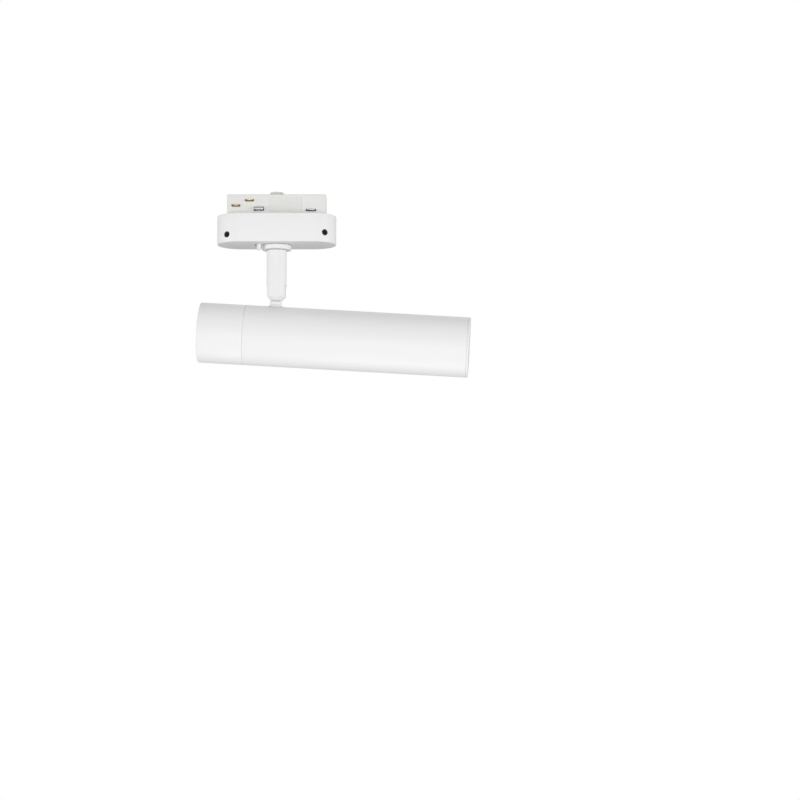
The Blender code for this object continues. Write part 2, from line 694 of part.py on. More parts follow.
def head_tube(tube):
    start, end = CAP_SHOULDER + SEAM, BEZEL_BACK - GAP
    profile = [
        (TUBE_INSIDE, end),
        (TUBE_RADIUS - SOFT_EDGE, end),
        (TUBE_RADIUS, end - SOFT_EDGE),
        (TUBE_RADIUS, start + SOFT_EDGE),
        (TUBE_RADIUS - SOFT_EDGE, start),
        (TUBE_INSIDE, start),
    ]
    body = turned("head_tube", profile, tube, "white_coat", steps=TUBE_STEPS, along_x=True)
    cut(body, from_top("stud_way", 0.015, TUBE_RADIUS + 2 * THROUGH, STUD_HOLE, tube))


def rear_cap(tube):
    profile = [
        (0, REAR_END + CAP_THICKNESS),
        (CAP_INSIDE, REAR_END + CAP_THICKNESS),
        (CAP_INSIDE, CAP_SPIGOT_FRONT),
        (SPIGOT_OUTSIDE, CAP_SPIGOT_FRONT),
        (SPIGOT_OUTSIDE, GROOVE_FRONT),
        (GROOVE_RADIUS, GROOVE_FRONT),
        (GROOVE_RADIUS, GROOVE_BACK),
        (SPIGOT_OUTSIDE, GROOVE_BACK),
        (SPIGOT_OUTSIDE, CAP_SHOULDER),
        (TUBE_RADIUS - SOFT_EDGE, CAP_SHOULDER),
        (TUBE_RADIUS, CAP_SHOULDER - SOFT_EDGE),
        (TUBE_RADIUS, REAR_END + 0.0008),
        (TUBE_RADIUS - SOFT_EDGE, REAR_END + SOFT_EDGE),
        (TUBE_RADIUS - 0.0008, REAR_END),
        (0, REAR_END),
    ]
    turned("rear_cap", profile, tube, "white_coat", steps=TUBE_STEPS, ring=False, along_x=True)
    sides = 6
    middle = (GROOVE_FRONT + GROOVE_BACK) / 2
    seal = []
    for side in range(sides):
        angle = -2 * math.pi * side / sides
        radius = SEAL_RADIUS + SEAL_THICKNESS * math.cos(angle)
        seal.append((radius, middle + SEAL_THICKNESS * math.sin(angle)))
    turned("cap_seal", seal, tube, "rubber", along_x=True)


def front_parts(tube):
    bezel = [
        (BEZEL_LIP + 0.0004, FRONT_END),
        (TUBE_RADIUS - 0.0005, FRONT_END),
        (TUBE_RADIUS, FRONT_END - 0.0005),
        (TUBE_RADIUS, BEZEL_BACK),
        (SPIGOT_OUTSIDE, BEZEL_BACK),
        (SPIGOT_OUTSIDE, BEZEL_SPIGOT_BACK),
        (BEZEL_SPIGOT_INSIDE, BEZEL_SPIGOT_BACK),
        (BEZEL_SPIGOT_INSIDE, BEZEL_BACK - 0.0002),
        (BEZEL_LIP, BEZEL_BACK - 0.0002),
        (BEZEL_LIP, FRONT_END - 0.0004),
    ]
    turned("front_bezel", bezel, tube, "white_coat", steps=TUBE_STEPS, along_x=True)
    rim = BAFFLE_BACK + BAFFLE_RIM
    profile = [(BAFFLE_OUTSIDE, BAFFLE_FRONT), (BAFFLE_OUTSIDE, rim)]
    profile += [(OPTIC_RADIUS, rim), (OPTIC_RADIUS, BAFFLE_BACK)]
    pitch = (BAFFLE_FRONT - BAFFLE_BACK) / BAFFLE_RIBS
    for rib in range(BAFFLE_RIBS):
        radius = BAFFLE_THROAT + 0.0003 * rib
        profile.append((radius, BAFFLE_BACK + pitch * rib))
        profile.append((radius + 0.0007, BAFFLE_BACK + pitch * (rib + 1)))
    turned("baffle", profile, tube, "black_matt", along_x=True)
    pane = disc(OPTIC_RADIUS, GLASS_BACK, GLASS_FRONT)
    glass = turned("front_glass", pane, tube, "glass", ring=False, along_x=True)
    shader = glass.data.materials[0].node_tree.nodes["Principled BSDF"]
    shader.inputs["Transmission Weight"].default_value = 0.9
    seal = [
        (GLASS_SEAL_INSIDE, GLASS_SEAL_FRONT),
        (OPTIC_RADIUS, GLASS_SEAL_FRONT),
        (OPTIC_RADIUS, GLASS_SEAL_BACK),
        (GLASS_SEAL_INSIDE, GLASS_SEAL_BACK),
    ]
    turned("glass_seal", seal, tube, "rubber", steps=24, along_x=True)


def reflector(tube):
    steps = 5
    inner = []
    for step in range(steps + 1):
        share = step / steps
        radius = REFLECTOR_THROAT + REFLECTOR_SPREAD * share**REFLECTOR_POWER
        inner.append((radius, REFLECTOR_BACK + (REFLECTOR_FRONT - REFLECTOR_BACK) * share))
    outer = [(radius + REFLECTOR_WALL, height) for radius, height in reversed(inner[:-1])]
    mouth = inner[-1]
    under = REFLECTOR_FRONT - REFLECTOR_RIM
    rim = [(OPTIC_RADIUS, mouth[1]), (OPTIC_RADIUS, under), (mouth[0] + REFLECTOR_WALL, under)]
    profile = [mouth] + rim + outer + inner[:-1]
    turned("reflector", profile, tube, "reflector", steps=24, along_x=True)


def light_engine(tube):
    profile = [
        (HOLDER_INSIDE, HOLDER_FRONT),
        (HOLDER_OUTSIDE, HOLDER_FRONT),
        (HOLDER_OUTSIDE, HOLDER_BACK),
        (HOLDER_INSIDE, HOLDER_BACK),
    ]
    holder = turned("led_holder", profile, tube, "white_plastic", steps=24, along_x=True)
    for name, radius, low, high, finish in (
        ("led_emitter", 0.0070, HOLDER_BACK, 0.0873, "phosphor"),
        ("led_board", 0.0130, 0.0850, 0.0864, "circuit_green"),
        ("thermal_pad", 0.0130, 0.0843, 0.0847, "rubber"),
    ):
        turned(name, disc(radius, low, high), tube, finish, steps=24, ring=False, along_x=True)
    sink = heat_sink(tube)
    for number, sign in ((1, -1), (2, 1)):
        holder_screw("holder_screw_%d" % number, sign * HOLDER_SCREW_OFFSET, holder, sink, tube)


def holder_screw(name, y, holder, sink, tube):
    front = HOLDER_FRONT + GAP
    for part, back, end, spare in ((holder, 0.086, 0.092, 0.0004), (sink, 0.0800, 0.0850, GAP)):
        hole = HOLDER_SCREW_RADIUS + spare
        cut(part, rod(name + "_hole", (back, y, 0), (end, y, 0), hole, tube))
    screw = rod(name, (0.0806, y, 0), (front + GAP, y, 0), HOLDER_SCREW_RADIUS, tube, "steel")
    top = front + 0.0013
    unite(screw, rod(name + "_head", (front, y, 0), (top, y, 0), 0.0024, tube))
    low, high = (top - 0.0005, y - 0.0003, -0.003), (top + THROUGH, y + 0.0003, 0.003)
    cut(screw, box("driver_slot", low, high, tube))


def disc(radius, low, high):
    return [(0, high), (radius, high), (radius, low), (0, low)]


def heat_sink(tube):
    """A core with fins all round, and a disc at its front that carries the light engine."""
    outline = []
    for fin in range(SINK_FINS):
        middle = 2 * math.pi * (fin + 0.5) / SINK_FINS
        along = Vector((math.cos(middle), math.sin(middle)))
        side = Vector((-along.y, along.x)) * HALF_FIN
        for reach, turn in ((SINK_CORE, -1), (SINK_TIP, -1), (SINK_TIP, 1), (SINK_CORE, 1)):
            outline.append(tuple(along * reach + side * turn))
    # the outline's x and y become the tube's z and y
    lying = Matrix.Rotation(math.pi / 2, 4, "Y")
    fins_front = SINK_DISC_BACK + 0.0005
    sink = plate("heat_sink", outline, SINK_BACK, fins_front, tube, "aluminium", turn=lying)
    front = disc(SINK_TIP, SINK_DISC_BACK, SINK_FRONT)
    unite(sink, turned("sink_disc", front, tube, ring=False, along_x=True))
    low, high = (0.0780, -0.0016, -0.0190), (SINK_FRONT + THROUGH, 0.0016, -0.0139)
    cut(sink, box("lead_notch", low, high, tube))
    return sink


def driver(tube):
    tray = box("driver_tray", TRAY_LOW, TRAY_HIGH, tube, "white_plastic")
    bottom, top = TRAY_LOW[2] + 0.0006, BOARD_LOW[2] - GAP
    for x in STANDOFF_X:
        for y in STANDOFF_Y:
            unite(tray, rod("standoff", (x, y, bottom), (x, y, top), 0.0016, tube, sides=12))
    box("driver_board", BOARD_LOW, BOARD_HIGH, tube, "circuit_green")
    level = COMPONENT_LEVEL
    box("driver_transformer", (0.0100, -0.0080, level), (0.0240, 0.0080, 0.0085), tube, "copper")
    start, end = (-0.0380, -0.0060, 0.0015), (-0.0200, -0.0060, 0.0015)
    rod("driver_capacitor", start, end, 0.0042, tube, "black_matt")
    choke = [(0.0018, 0.0015), (0.0052, 0.0015), (0.0052, level), (0.0018, level)]
    made = turned("driver_choke", choke, tube, "copper", steps=24)
    made.location = (-0.0300, 0.0070, 0)
    box("driver_connector", (-0.0120, -0.0045, level), (-0.0040, 0.0045, 0.0020), tube, "nylon")


def tube_fixings(tube):
    washer = box("saddle_washer", (-0.0055, -0.0055, 0.0158), (0.0055, 0.0055, 0.0185), tube, "steel")
    inside = rod("washer_envelope", (-0.02, 0, 0), (0.02, 0, 0), TUBE_INSIDE - GAP, tube, sides=64)
    keep = washer.modifiers.new("follow_tube", "BOOLEAN")
    keep.operation = "INTERSECT"
    keep.solver = "EXACT"
    keep.object = inside
    cut(washer, from_top("washer_hole", 0.014, 0.020, STUD_HOLE, tube))
    nut = from_top("knuckle_nut", 0.0125, 0.0155, 0.0056, tube, "brass", sides=6)
    cut(nut, from_top("knuckle_nut_bore", 0.010, 0.018, STUD_HOLE, tube))


def head_leads(tube):
    route = [(0, 0, 0.0107), (0, 0, 0.0097), (-0.0030, 0, 0.0074)]
    route += [(-0.0062, 0, 0.0058), (-0.0080, 0, 0.0040), (-0.0080, 0, 0.0024)]
    wire("lead_head", route, LEAD_RADIUS, tube, "white_plastic")
    route = [(0.0300, 0, -0.0155), (0.0500, 0, -0.0160), (0.0700, 0, -0.0160), (0.0840, 0, -0.0158)]
    wire("lead_led", route, 0.0010, tube, "black_matt")


adapter_housing()
adapter_base()
contacts()
terminals()
grub_screws()
swivel_bush()
lead_in_adapter()
circuit_selector()
lock()

pan_axis = empty("pan_axis", rotation=(0, 0, PAN_AT_REST))
stem(pan_axis)
tilt_fixings(pan_axis)
swivel_stack(pan_axis)

tilt_axis = empty("tilt_axis", pan_axis, (0, 0, TILT_HEIGHT), (0, TILT_AT_REST, 0))
knuckle(tilt_axis)

tube_axis = empty("tube_axis", tilt_axis, (0, 0, -TUBE_DROP))
head_tube(tube_axis)
rear_cap(tube_axis)
front_parts(tube_axis)
reflector(tube_axis)
light_engine(tube_axis)
driver(tube_axis)
tube_fixings(tube_axis)
head_leads(tube_axis)
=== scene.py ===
# %% [markdown]
# # A track spotlight, dressed for the studio
# The lamp is a slim white tube on a short swivel stem, under an oval adapter that plugs into a
# lighting track. The imported model gives every part its place and size. This lesson gives the
# parts that show their fine shape, and every part its finish, one short cell at a time.

# %% Load the frame, and a helper that measures the box
import json
import math

import bmesh
import bpy
from mathutils import Matrix, Vector


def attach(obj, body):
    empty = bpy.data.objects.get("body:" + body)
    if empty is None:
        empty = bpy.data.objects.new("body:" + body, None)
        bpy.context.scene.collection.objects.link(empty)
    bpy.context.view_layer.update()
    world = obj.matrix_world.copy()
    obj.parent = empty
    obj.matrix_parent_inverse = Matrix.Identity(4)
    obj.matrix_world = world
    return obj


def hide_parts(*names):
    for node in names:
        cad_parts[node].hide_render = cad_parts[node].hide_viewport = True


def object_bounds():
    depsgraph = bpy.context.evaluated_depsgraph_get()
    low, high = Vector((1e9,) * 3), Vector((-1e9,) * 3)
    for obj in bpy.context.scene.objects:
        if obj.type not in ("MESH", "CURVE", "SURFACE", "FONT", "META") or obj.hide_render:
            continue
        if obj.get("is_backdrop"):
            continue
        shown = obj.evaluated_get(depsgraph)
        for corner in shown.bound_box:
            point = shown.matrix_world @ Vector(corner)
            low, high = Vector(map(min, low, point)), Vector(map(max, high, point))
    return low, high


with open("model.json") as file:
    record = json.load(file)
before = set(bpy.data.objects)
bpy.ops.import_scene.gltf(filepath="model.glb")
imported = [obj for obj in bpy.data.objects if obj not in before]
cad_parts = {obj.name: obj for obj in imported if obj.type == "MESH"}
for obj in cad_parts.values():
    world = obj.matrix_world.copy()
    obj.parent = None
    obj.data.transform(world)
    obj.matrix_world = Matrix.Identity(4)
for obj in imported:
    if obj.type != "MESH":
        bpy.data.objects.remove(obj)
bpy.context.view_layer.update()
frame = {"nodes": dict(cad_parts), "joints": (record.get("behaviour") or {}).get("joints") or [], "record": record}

scene = bpy.context.scene

# %% [markdown]
# ## Where the camera stands
# The lamp hangs over head height, so it is seen from a little below and from its front side.
# A long lens of about 110 mm keeps the tube's two ends nearly the same size. The camera could
# track the lamp with a constraint, but a plain place and pitch is easier to read and repeat.

# %% Camera
CAMERA_PLACE = (0.0823, -1.6126, -0.2949)
CAMERA_PITCH = math.radians(6.08)
LENS = 110.0
camera_data = bpy.data.cameras.new("camera")
camera_data.lens = LENS
camera_data.sensor_width = 36.0
camera_data.clip_start = 0.05
camera_data.clip_end = 120.0
camera = bpy.data.objects.new("camera", camera_data)
scene.collection.objects.link(camera)
camera.location = CAMERA_PLACE
camera.rotation_euler = (math.pi / 2 + CAMERA_PITCH, 0, 0)
scene.camera = camera
print("camera", LENS, "mm, pitched up", round(math.degrees(CAMERA_PITCH), 2), "degrees")

# %% [markdown]
# ## Sky and floor
# A white lamp on white needs soft light that still has a direction, or its round forms go flat.
# An even sky fills the shadows. The camera sees it as plain white, which the Light Path node
# tells apart, so the fill can be set without greying the background. The floor lies more than a
# storey below, because the lamp hangs from a ceiling.

# %% World and floor
FILL = 0.48
FLOOR_DROP = 3.5
FLOOR_RADIUS = 36.0


def wired(tree, kind, inputs=None, **settings):
    """A node with its settings made and its inputs linked or given a value."""
    made = tree.nodes.new(kind)
    for name, value in settings.items():
        setattr(made, name, value)
    for name, value in (inputs or {}).items():
        if isinstance(value, bpy.types.NodeSocket):
            tree.links.new(value, made.inputs[name])
        else:
            made.inputs[name].default_value = value
    return made


def math_of(tree, operation, first, second=0.5):
    return wired(tree, "ShaderNodeMath", {0: first, 1: second}, operation=operation).outputs[0]


world = bpy.data.worlds.new("studio")
scene.world = world
world.use_nodes = True
sky = world.node_tree
sky.nodes.clear()
fill = wired(sky, "ShaderNodeBackground", {"Color": (1, 1, 1, 1), "Strength": FILL})
white = wired(sky, "ShaderNodeBackground", {"Color": (1, 1, 1, 1), "Strength": 1.0})
seen = wired(sky, "ShaderNodeLightPath").outputs["Is Camera Ray"]
both = wired(sky, "ShaderNodeMixShader", {0: seen, 1: fill.outputs[0], 2: white.outputs[0]})
wired(sky, "ShaderNodeOutputWorld", {"Surface": both.outputs[0]})
scene.view_settings.view_transform = "Standard"

disc = bmesh.new()
bmesh.ops.create_circle(disc, cap_ends=True, segments=64, radius=FLOOR_RADIUS)
floor_mesh = bpy.data.meshes.new("floor")
disc.to_mesh(floor_mesh)
disc.free()
floor_mesh.transform(Matrix.Translation((0, 0, -FLOOR_DROP)))
floor = bpy.data.objects.new("floor", floor_mesh)
scene.collection.objects.link(floor)
floor.visible_diffuse = False
floor_paint = bpy.data.materials.new("pale_floor")
floor_paint.use_nodes = True
floor_paint.node_tree.nodes["Principled BSDF"].inputs["Base Color"].default_value = (0.9, 0.9, 0.9, 1)
floor_mesh.materials.append(floor_paint)
floor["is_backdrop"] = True
print("floor", FLOOR_DROP, "m below the track")

# %% [markdown]
# ## Softboxes
# Two large panels stand in front at either side, so the tube and stem shade gently towards their
# outlines. One in front keeps flat faces clean. One far below brightens the tube's underside,
# and the tube shades the adapter from it, which sets the two apart. A weak one behind keeps the
# back readable. The panels are hidden from the camera.

# %% Light panels
LAMP_MIDDLE = Vector((0.03, 0, -0.06))
PANELS = {
    "left": ((-2.5, -1.3, -0.2), 1.3, 30.0),
    "right": ((2.5, -1.3, -0.2), 1.3, 30.0),
    "front": ((0.08, -2.6, -0.55), 1.1, 13.0),
    "below": ((0.04, 0.0, -2.5), 0.8, 14.0),
    "behind": ((0.3, 2.0, 1.7), 1.4, 6.5),
}
for name, (place, size, power) in PANELS.items():
    data = bpy.data.lights.new(name + "_panel", "AREA")
    data.shape = "SQUARE"
    data.size = size
    data.energy = power
    panel = bpy.data.objects.new(name + "_panel", data)
    scene.collection.objects.link(panel)
    panel.location = place
    panel.rotation_euler = (LAMP_MIDDLE - Vector(place)).to_track_quat("-Z", "Y").to_euler()
    panel.visible_camera = False
print(len(PANELS), "light panels")

# %% [markdown]
# ## The parts' own frames
# The stem is turned a little about the vertical, and the head tilts on it, so their parts are
# easiest to shape upright and then carried into place by a matrix. The matrices come from the
# joints, and a part's sizes from its box in that frame, so nothing is fitted by eye.

# %% Frames of the stem, the tilt joint and the tube
joints = {joint["name"]: joint for joint in frame["joints"]}
tilt_point = Vector(joints["tilt"]["pos_m"])
tilt_line = Vector(joints["tilt"]["axis"])
tilt_down = -math.radians(joints["tilt"]["range_deg"][0])
ROOT = Matrix.Identity(4)
STEM = Matrix.Rotation(math.atan2(-tilt_line.x, tilt_line.y), 4, "Z")
TILT = Matrix.Translation(tilt_point) @ STEM @ Matrix.Rotation(tilt_down, 4, "Y")


def corners(node, place=ROOT):
    """Lowest and highest corner of a CAD node, measured in a turned frame."""
    inverse = place.inverted()
    points = [inverse @ vertex.co for vertex in frame["nodes"][node].data.vertices]
    return Vector(map(min, zip(*points))), Vector(map(max, zip(*points)))


low, high = corners("head_tube", TILT)
TUBE = TILT @ Matrix.Translation((0, 0, (low.z + high.z) / 2))
TUBE_RADIUS = (high.z - low.z) / 2
ALONG = TUBE @ Matrix.Rotation(math.pi / 2, 4, "Y")
print("tube", round(2000 * TUBE_RADIUS, 1), "mm across, tilted", round(math.degrees(tilt_down), 1))

# %% [markdown]
# ## Shared finishes as shader groups
# Every coat, moulding and metal on the lamp has a fine grain, and a slow drift in tone that no
# factory avoids. One group makes both, and each material asks for its own size and depth. A
# second group thins the finish at sharp edges, where handling rubs it. A third draws the fine
# lines that a lathe or a press leaves on metal. The same could be painted as image textures,
# but a group keeps its detail at any distance.

# %% Group: grain
def socket_list(tree, direction, sockets):
    for name, kind, value in sockets:
        made = tree.interface.new_socket(name, in_out=direction, socket_type="NodeSocket" + kind)
        if value is not None:
            made.default_value = value


def object_place(tree):
    return wired(tree, "ShaderNodeTexCoord").outputs["Object"]


grain = bpy.data.node_groups.new("grain", "ShaderNodeTree")
socket_list(grain, "INPUT", [
    ("Colour", "Color", (0.8, 0.8, 0.8, 1)),
    ("Roughness", "Float", 0.5),
    ("Grains per metre", "Float", 3000.0),
    ("Drift per metre", "Float", 45.0),
    ("Tone drift", "Float", 0.02),
    ("Roughness drift", "Float", 0.05),
])
socket_list(grain, "OUTPUT", [
    ("Colour", "Color", None), ("Roughness", "Float", None), ("Height", "Float", None),
])
given = wired(grain, "NodeGroupInput").outputs
where = object_place(grain)
fine = wired(grain, "ShaderNodeTexNoise", {
    "Vector": where, "Scale": given["Grains per metre"], "Detail": 3.0, "Roughness": 0.55,
}).outputs[0]
slow = wired(grain, "ShaderNodeTexNoise", {
    "Vector": where, "Scale": given["Drift per metre"], "Detail": 4.0, "Roughness": 0.6,
}).outputs[0]
centred = math_of(grain, "SUBTRACT", slow, 0.5)
SPECK_SHARE = 0.35
speck = math_of(grain, "MULTIPLY", math_of(grain, "SUBTRACT", fine, 0.5), SPECK_SHARE)
tone = math_of(grain, "MULTIPLY", math_of(grain, "ADD", centred, speck), given["Tone drift"])
lift = math_of(grain, "ADD", tone, 1.0)
shade = wired(grain, "ShaderNodeVectorMath", {0: given["Colour"], "Scale": lift}, operation="SCALE")
change = math_of(grain, "MULTIPLY", centred, given["Roughness drift"])
rough = math_of(grain, "ADD", change, given["Roughness"])
wired(grain, "NodeGroupOutput", {"Colour": shade.outputs[0], "Roughness": rough, "Height": fine})
print("group grain")

# %% Group: edge wear
wear = bpy.data.node_groups.new("edge_wear", "ShaderNodeTree")
socket_list(wear, "INPUT", [
    ("Colour", "Color", (0.8, 0.8, 0.8, 1)),
    ("Roughness", "Float", 0.5),
    ("Edge colour", "Color", (0.9, 0.9, 0.9, 1)),
    ("Edge roughness", "Float", 0.3),
    ("Amount", "Float", 0.3),
])
socket_list(wear, "OUTPUT", [("Colour", "Color", None), ("Roughness", "Float", None)])
given = wired(wear, "NodeGroupInput").outputs
sharpness = wired(wear, "ShaderNodeNewGeometry").outputs["Pointiness"]
edges = wired(wear, "ShaderNodeMapRange", {
    "Value": sharpness, "From Min": 0.51, "From Max": 0.60,
}).outputs[0]
patches = wired(wear, "ShaderNodeTexNoise", {
    "Vector": object_place(wear), "Scale": 900.0, "Detail": 3.0,
}).outputs[0]
broken = wired(wear, "ShaderNodeMapRange", {
    "Value": patches, "From Min": 0.35, "From Max": 0.65,
}).outputs[0]
mask = math_of(wear, "MULTIPLY", math_of(wear, "MULTIPLY", edges, broken), given["Amount"])
mix = wired(wear, "ShaderNodeMix", data_type="RGBA")
for number, source in ((0, mask), (6, given["Colour"]), (7, given["Edge colour"])):
    wear.links.new(source, mix.inputs[number])
blend = wired(wear, "ShaderNodeMix", {
    0: mask, 2: given["Roughness"], 3: given["Edge roughness"],
}, data_type="FLOAT")
wired(wear, "NodeGroupOutput", {"Colour": mix.outputs[2], "Roughness": blend.outputs[0]})
print("group edge_wear")

# %% Group: fine lines
lines = bpy.data.node_groups.new("fine_lines", "ShaderNodeTree")
socket_list(lines, "INPUT", [
    ("Stretch", "Vector", (200.0, 4000.0, 4000.0)), ("Height", "Float", 0.5), ("Share", "Float", 0.5),
])
socket_list(lines, "OUTPUT", [("Height", "Float", None)])
given = wired(lines, "NodeGroupInput").outputs
pulled = wired(lines, "ShaderNodeVectorMath", {
    0: object_place(lines), 1: given["Stretch"],
}, operation="MULTIPLY").outputs[0]
scratch = wired(lines, "ShaderNodeTexNoise", {
    "Vector": pulled, "Scale": 1.0, "Detail": 4.0, "Roughness": 0.7,
}).outputs[0]
added = math_of(lines, "ADD", math_of(lines, "MULTIPLY", scratch, given["Share"]), given["Height"])
wired(lines, "NodeGroupOutput", {"Height": added})
print("group fine_lines")

# %% [markdown]
# ## Materials
# A finish is one Principled shader fed by the groups. The powder coat is satin and barely
# rippled, mouldings are softer, and metals keep their lines. Numbers that are the same all
# over go straight on the shader's own sockets, where an exporter can find them.

# %% One function for every opaque finish
def finish(
    name, colour, roughness, metallic=0.0, grains=3000.0, bump=0.00001, drift=0.02,
    edge=None, stretch=None, **sockets
):
    """A Principled material with grain and drift. If asked, it has worn edges and drawn lines."""
    made = bpy.data.materials.new(name)
    made.use_nodes = True
    tree = made.node_tree
    shader = tree.nodes["Principled BSDF"]
    base = wired(tree, "ShaderNodeGroup", node_tree=grain)
    base.inputs["Colour"].default_value = (*colour, 1)
    base.inputs["Roughness"].default_value = roughness
    base.inputs["Grains per metre"].default_value = grains
    base.inputs["Tone drift"].default_value = drift
    tint, dullness, height = base.outputs
    if edge:
        edge_colour, edge_roughness, amount = edge
        rub = wired(tree, "ShaderNodeGroup", node_tree=wear)
        tree.links.new(tint, rub.inputs["Colour"])
        tree.links.new(dullness, rub.inputs["Roughness"])
        rub.inputs["Edge colour"].default_value = (*edge_colour, 1)
        rub.inputs["Edge roughness"].default_value = edge_roughness
        rub.inputs["Amount"].default_value = amount
        tint, dullness = rub.outputs[0], rub.outputs[1]
    if stretch:
        drawn = wired(tree, "ShaderNodeGroup", node_tree=lines)
        drawn.inputs["Stretch"].default_value = stretch
        tree.links.new(height, drawn.inputs["Height"])
        height = drawn.outputs[0]
    ripple = wired(tree, "ShaderNodeBump", {"Height": height, "Distance": bump, "Strength": 1.0})
    tree.links.new(tint, shader.inputs["Base Color"])
    tree.links.new(dullness, shader.inputs["Roughness"])
    tree.links.new(ripple.outputs[0], shader.inputs["Normal"])
    shader.inputs["Metallic"].default_value = metallic
    for socket, value in sockets.items():
        shader.inputs[socket.replace("_", " ")].default_value = value
    return made


print("finish() is ready")

# %% [markdown]
# ### The table of finishes
# Each row is one finish: colour, roughness, how fine its grain is per metre, how deep its ripple
# is in metres, and how much its tone drifts. An edge row gives the worn edge's colour, roughness
# and amount. A stretch gives the direction of the drawn lines: few per metre along, many across.

# %% Opaque finishes
FINISHES = {
    "white_coat": dict(
        colour=(0.86, 0.86, 0.86), roughness=0.48, grains=2600.0, bump=0.000012, drift=0.012,
        edge=((0.90, 0.90, 0.90), 0.38, 0.5),
    ),
    "white_plastic": dict(
        colour=(0.80, 0.80, 0.78), roughness=0.42, grains=5200.0, bump=0.000006,
        edge=((0.86, 0.86, 0.85), 0.3, 0.5),
    ),
    "lead_sheath": dict(colour=(0.76, 0.76, 0.74), roughness=0.55, grains=3800.0),
    "nylon": dict(
        colour=(0.72, 0.71, 0.65), roughness=0.45, grains=4200.0, bump=0.000008,
        Subsurface_Weight=0.08,
    ),
    "black_steel": dict(
        colour=(0.018, 0.018, 0.02), roughness=0.42, metallic=0.6, grains=6000.0, bump=0.000006,
        edge=((0.12, 0.12, 0.125), 0.3, 0.6),
    ),
    "brass": dict(
        colour=(0.78, 0.58, 0.26), roughness=0.28, metallic=1.0, bump=0.000004,
        edge=((0.90, 0.74, 0.42), 0.2, 0.6), stretch=(300.0, 5000.0, 5000.0),
    ),
    "steel": dict(
        colour=(0.58, 0.58, 0.60), roughness=0.32, metallic=1.0, bump=0.000005,
        edge=((0.75, 0.75, 0.76), 0.22, 0.6), stretch=(260.0, 4200.0, 4200.0),
    ),
    "heat_sink_aluminium": dict(
        colour=(0.70, 0.71, 0.72), roughness=0.38, metallic=1.0, bump=0.000006,
        stretch=(150.0, 3500.0, 3500.0),
    ),
    "reflector_aluminium": dict(
        colour=(0.90, 0.90, 0.91), roughness=0.10, metallic=1.0, grains=1200.0, bump=0.000004,
        drift=0.01,
    ),
    "black_baffle": dict(
        colour=(0.012, 0.012, 0.013), roughness=0.72, grains=7000.0, bump=0.00002, drift=0.1,
    ),
    "rubber": dict(
        colour=(0.035, 0.035, 0.036), roughness=0.75, grains=2400.0, bump=0.00002, drift=0.08,
    ),
    "phosphor": dict(
        colour=(0.98, 0.76, 0.17), roughness=0.38, grains=9000.0, drift=0.05, Coat_Weight=0.5,
    ),
    "transformer_tape": dict(
        colour=(0.80, 0.58, 0.08), roughness=0.30, grains=900.0, drift=0.06, Coat_Weight=0.3,
    ),
    "black_plastic": dict(colour=(0.03, 0.03, 0.034), roughness=0.28, bump=0.000006),
    "copper_wire": dict(
        colour=(0.62, 0.25, 0.10), roughness=0.30, metallic=1.0, bump=0.00005,
        stretch=(150.0, 150.0, 4200.0),
    ),
}
LOOKS = {name: finish(name, **facts) for name, facts in FINISHES.items()}
print(len(LOOKS), "opaque finishes")

# %% [markdown]
# ### Circuit board and glass
# A circuit board shows its copper tracks through the lacquer, as straight runs that a brick
# pattern draws well. Glass bends light, so its colour stays plain and only its surface varies.

# %% Special finishes
def board_finish():
    made = finish("board", (0.03, 0.20, 0.08), 0.32, grains=3200.0, bump=0.000006, Coat_Weight=0.4)
    tree = made.node_tree
    tracks = wired(tree, "ShaderNodeTexBrick", {
        "Vector": object_place(tree), "Scale": 60.0, "Mortar Size": 0.018, "Mortar Smooth": 0.2,
        "Color1": (0.030, 0.200, 0.080, 1), "Color2": (0.024, 0.170, 0.070, 1),
        "Mortar": (0.10, 0.36, 0.14, 1),
    })
    base = next(n for n in tree.nodes if n.type == "GROUP")
    tree.links.new(tracks.outputs[0], base.inputs["Colour"])
    return made


def glass_finish():
    made = bpy.data.materials.new("clear_glass")
    made.use_nodes = True
    tree = made.node_tree
    shader = tree.nodes["Principled BSDF"]
    smears = wired(tree, "ShaderNodeTexNoise", {"Vector": object_place(tree), "Scale": 90.0, "Detail": 5.0})
    dullness = wired(tree, "ShaderNodeMapRange", {"Value": smears.outputs[0], "To Min": 0.01, "To Max": 0.05})
    tree.links.new(dullness.outputs[0], shader.inputs["Roughness"])
    shader.inputs["Base Color"].default_value = (0.96, 0.985, 0.98, 1)
    shader.inputs["Transmission Weight"].default_value = 1.0
    shader.inputs["IOR"].default_value = 1.5
    return made


LOOKS["board"] = board_finish()
LOOKS["glass"] = glass_finish()
slots = {part["node"]: part["material_slot"] for part in frame["record"]["subparts"]}
for node, part in frame["nodes"].items():
    part.data.materials.clear()
    part.data.materials.append(LOOKS[slots[node]])
print("every CAD part has its finish")

# %% [markdown]
# ## Tools for shaping
# A turned part is a profile swept round an axis. Blender has a Screw modifier for this, and a
# Geometry Nodes tree does the same in four nodes: the profile becomes a curve, a circle is its
# path, and the poles are merged. The tree is built once, and its inputs are the number of
# steps and the finish. Sharp corners catch no light, so each profile corner can be rounded.

# %% Geometry Nodes: the lathe
PATH_RADIUS = 0.01
WELD = 0.000002


def new_tree(name, inputs):
    tree = bpy.data.node_groups.new(name, "GeometryNodeTree")
    tree.interface.new_socket("Geometry", in_out="INPUT", socket_type="NodeSocketGeometry")
    for label, kind, value in inputs:
        made = tree.interface.new_socket(label, in_out="INPUT", socket_type="NodeSocket" + kind)
        if value is not None:
            made.default_value = value
    tree.interface.new_socket("Geometry", in_out="OUTPUT", socket_type="NodeSocketGeometry")
    return tree, tree.nodes.new("NodeGroupInput").outputs


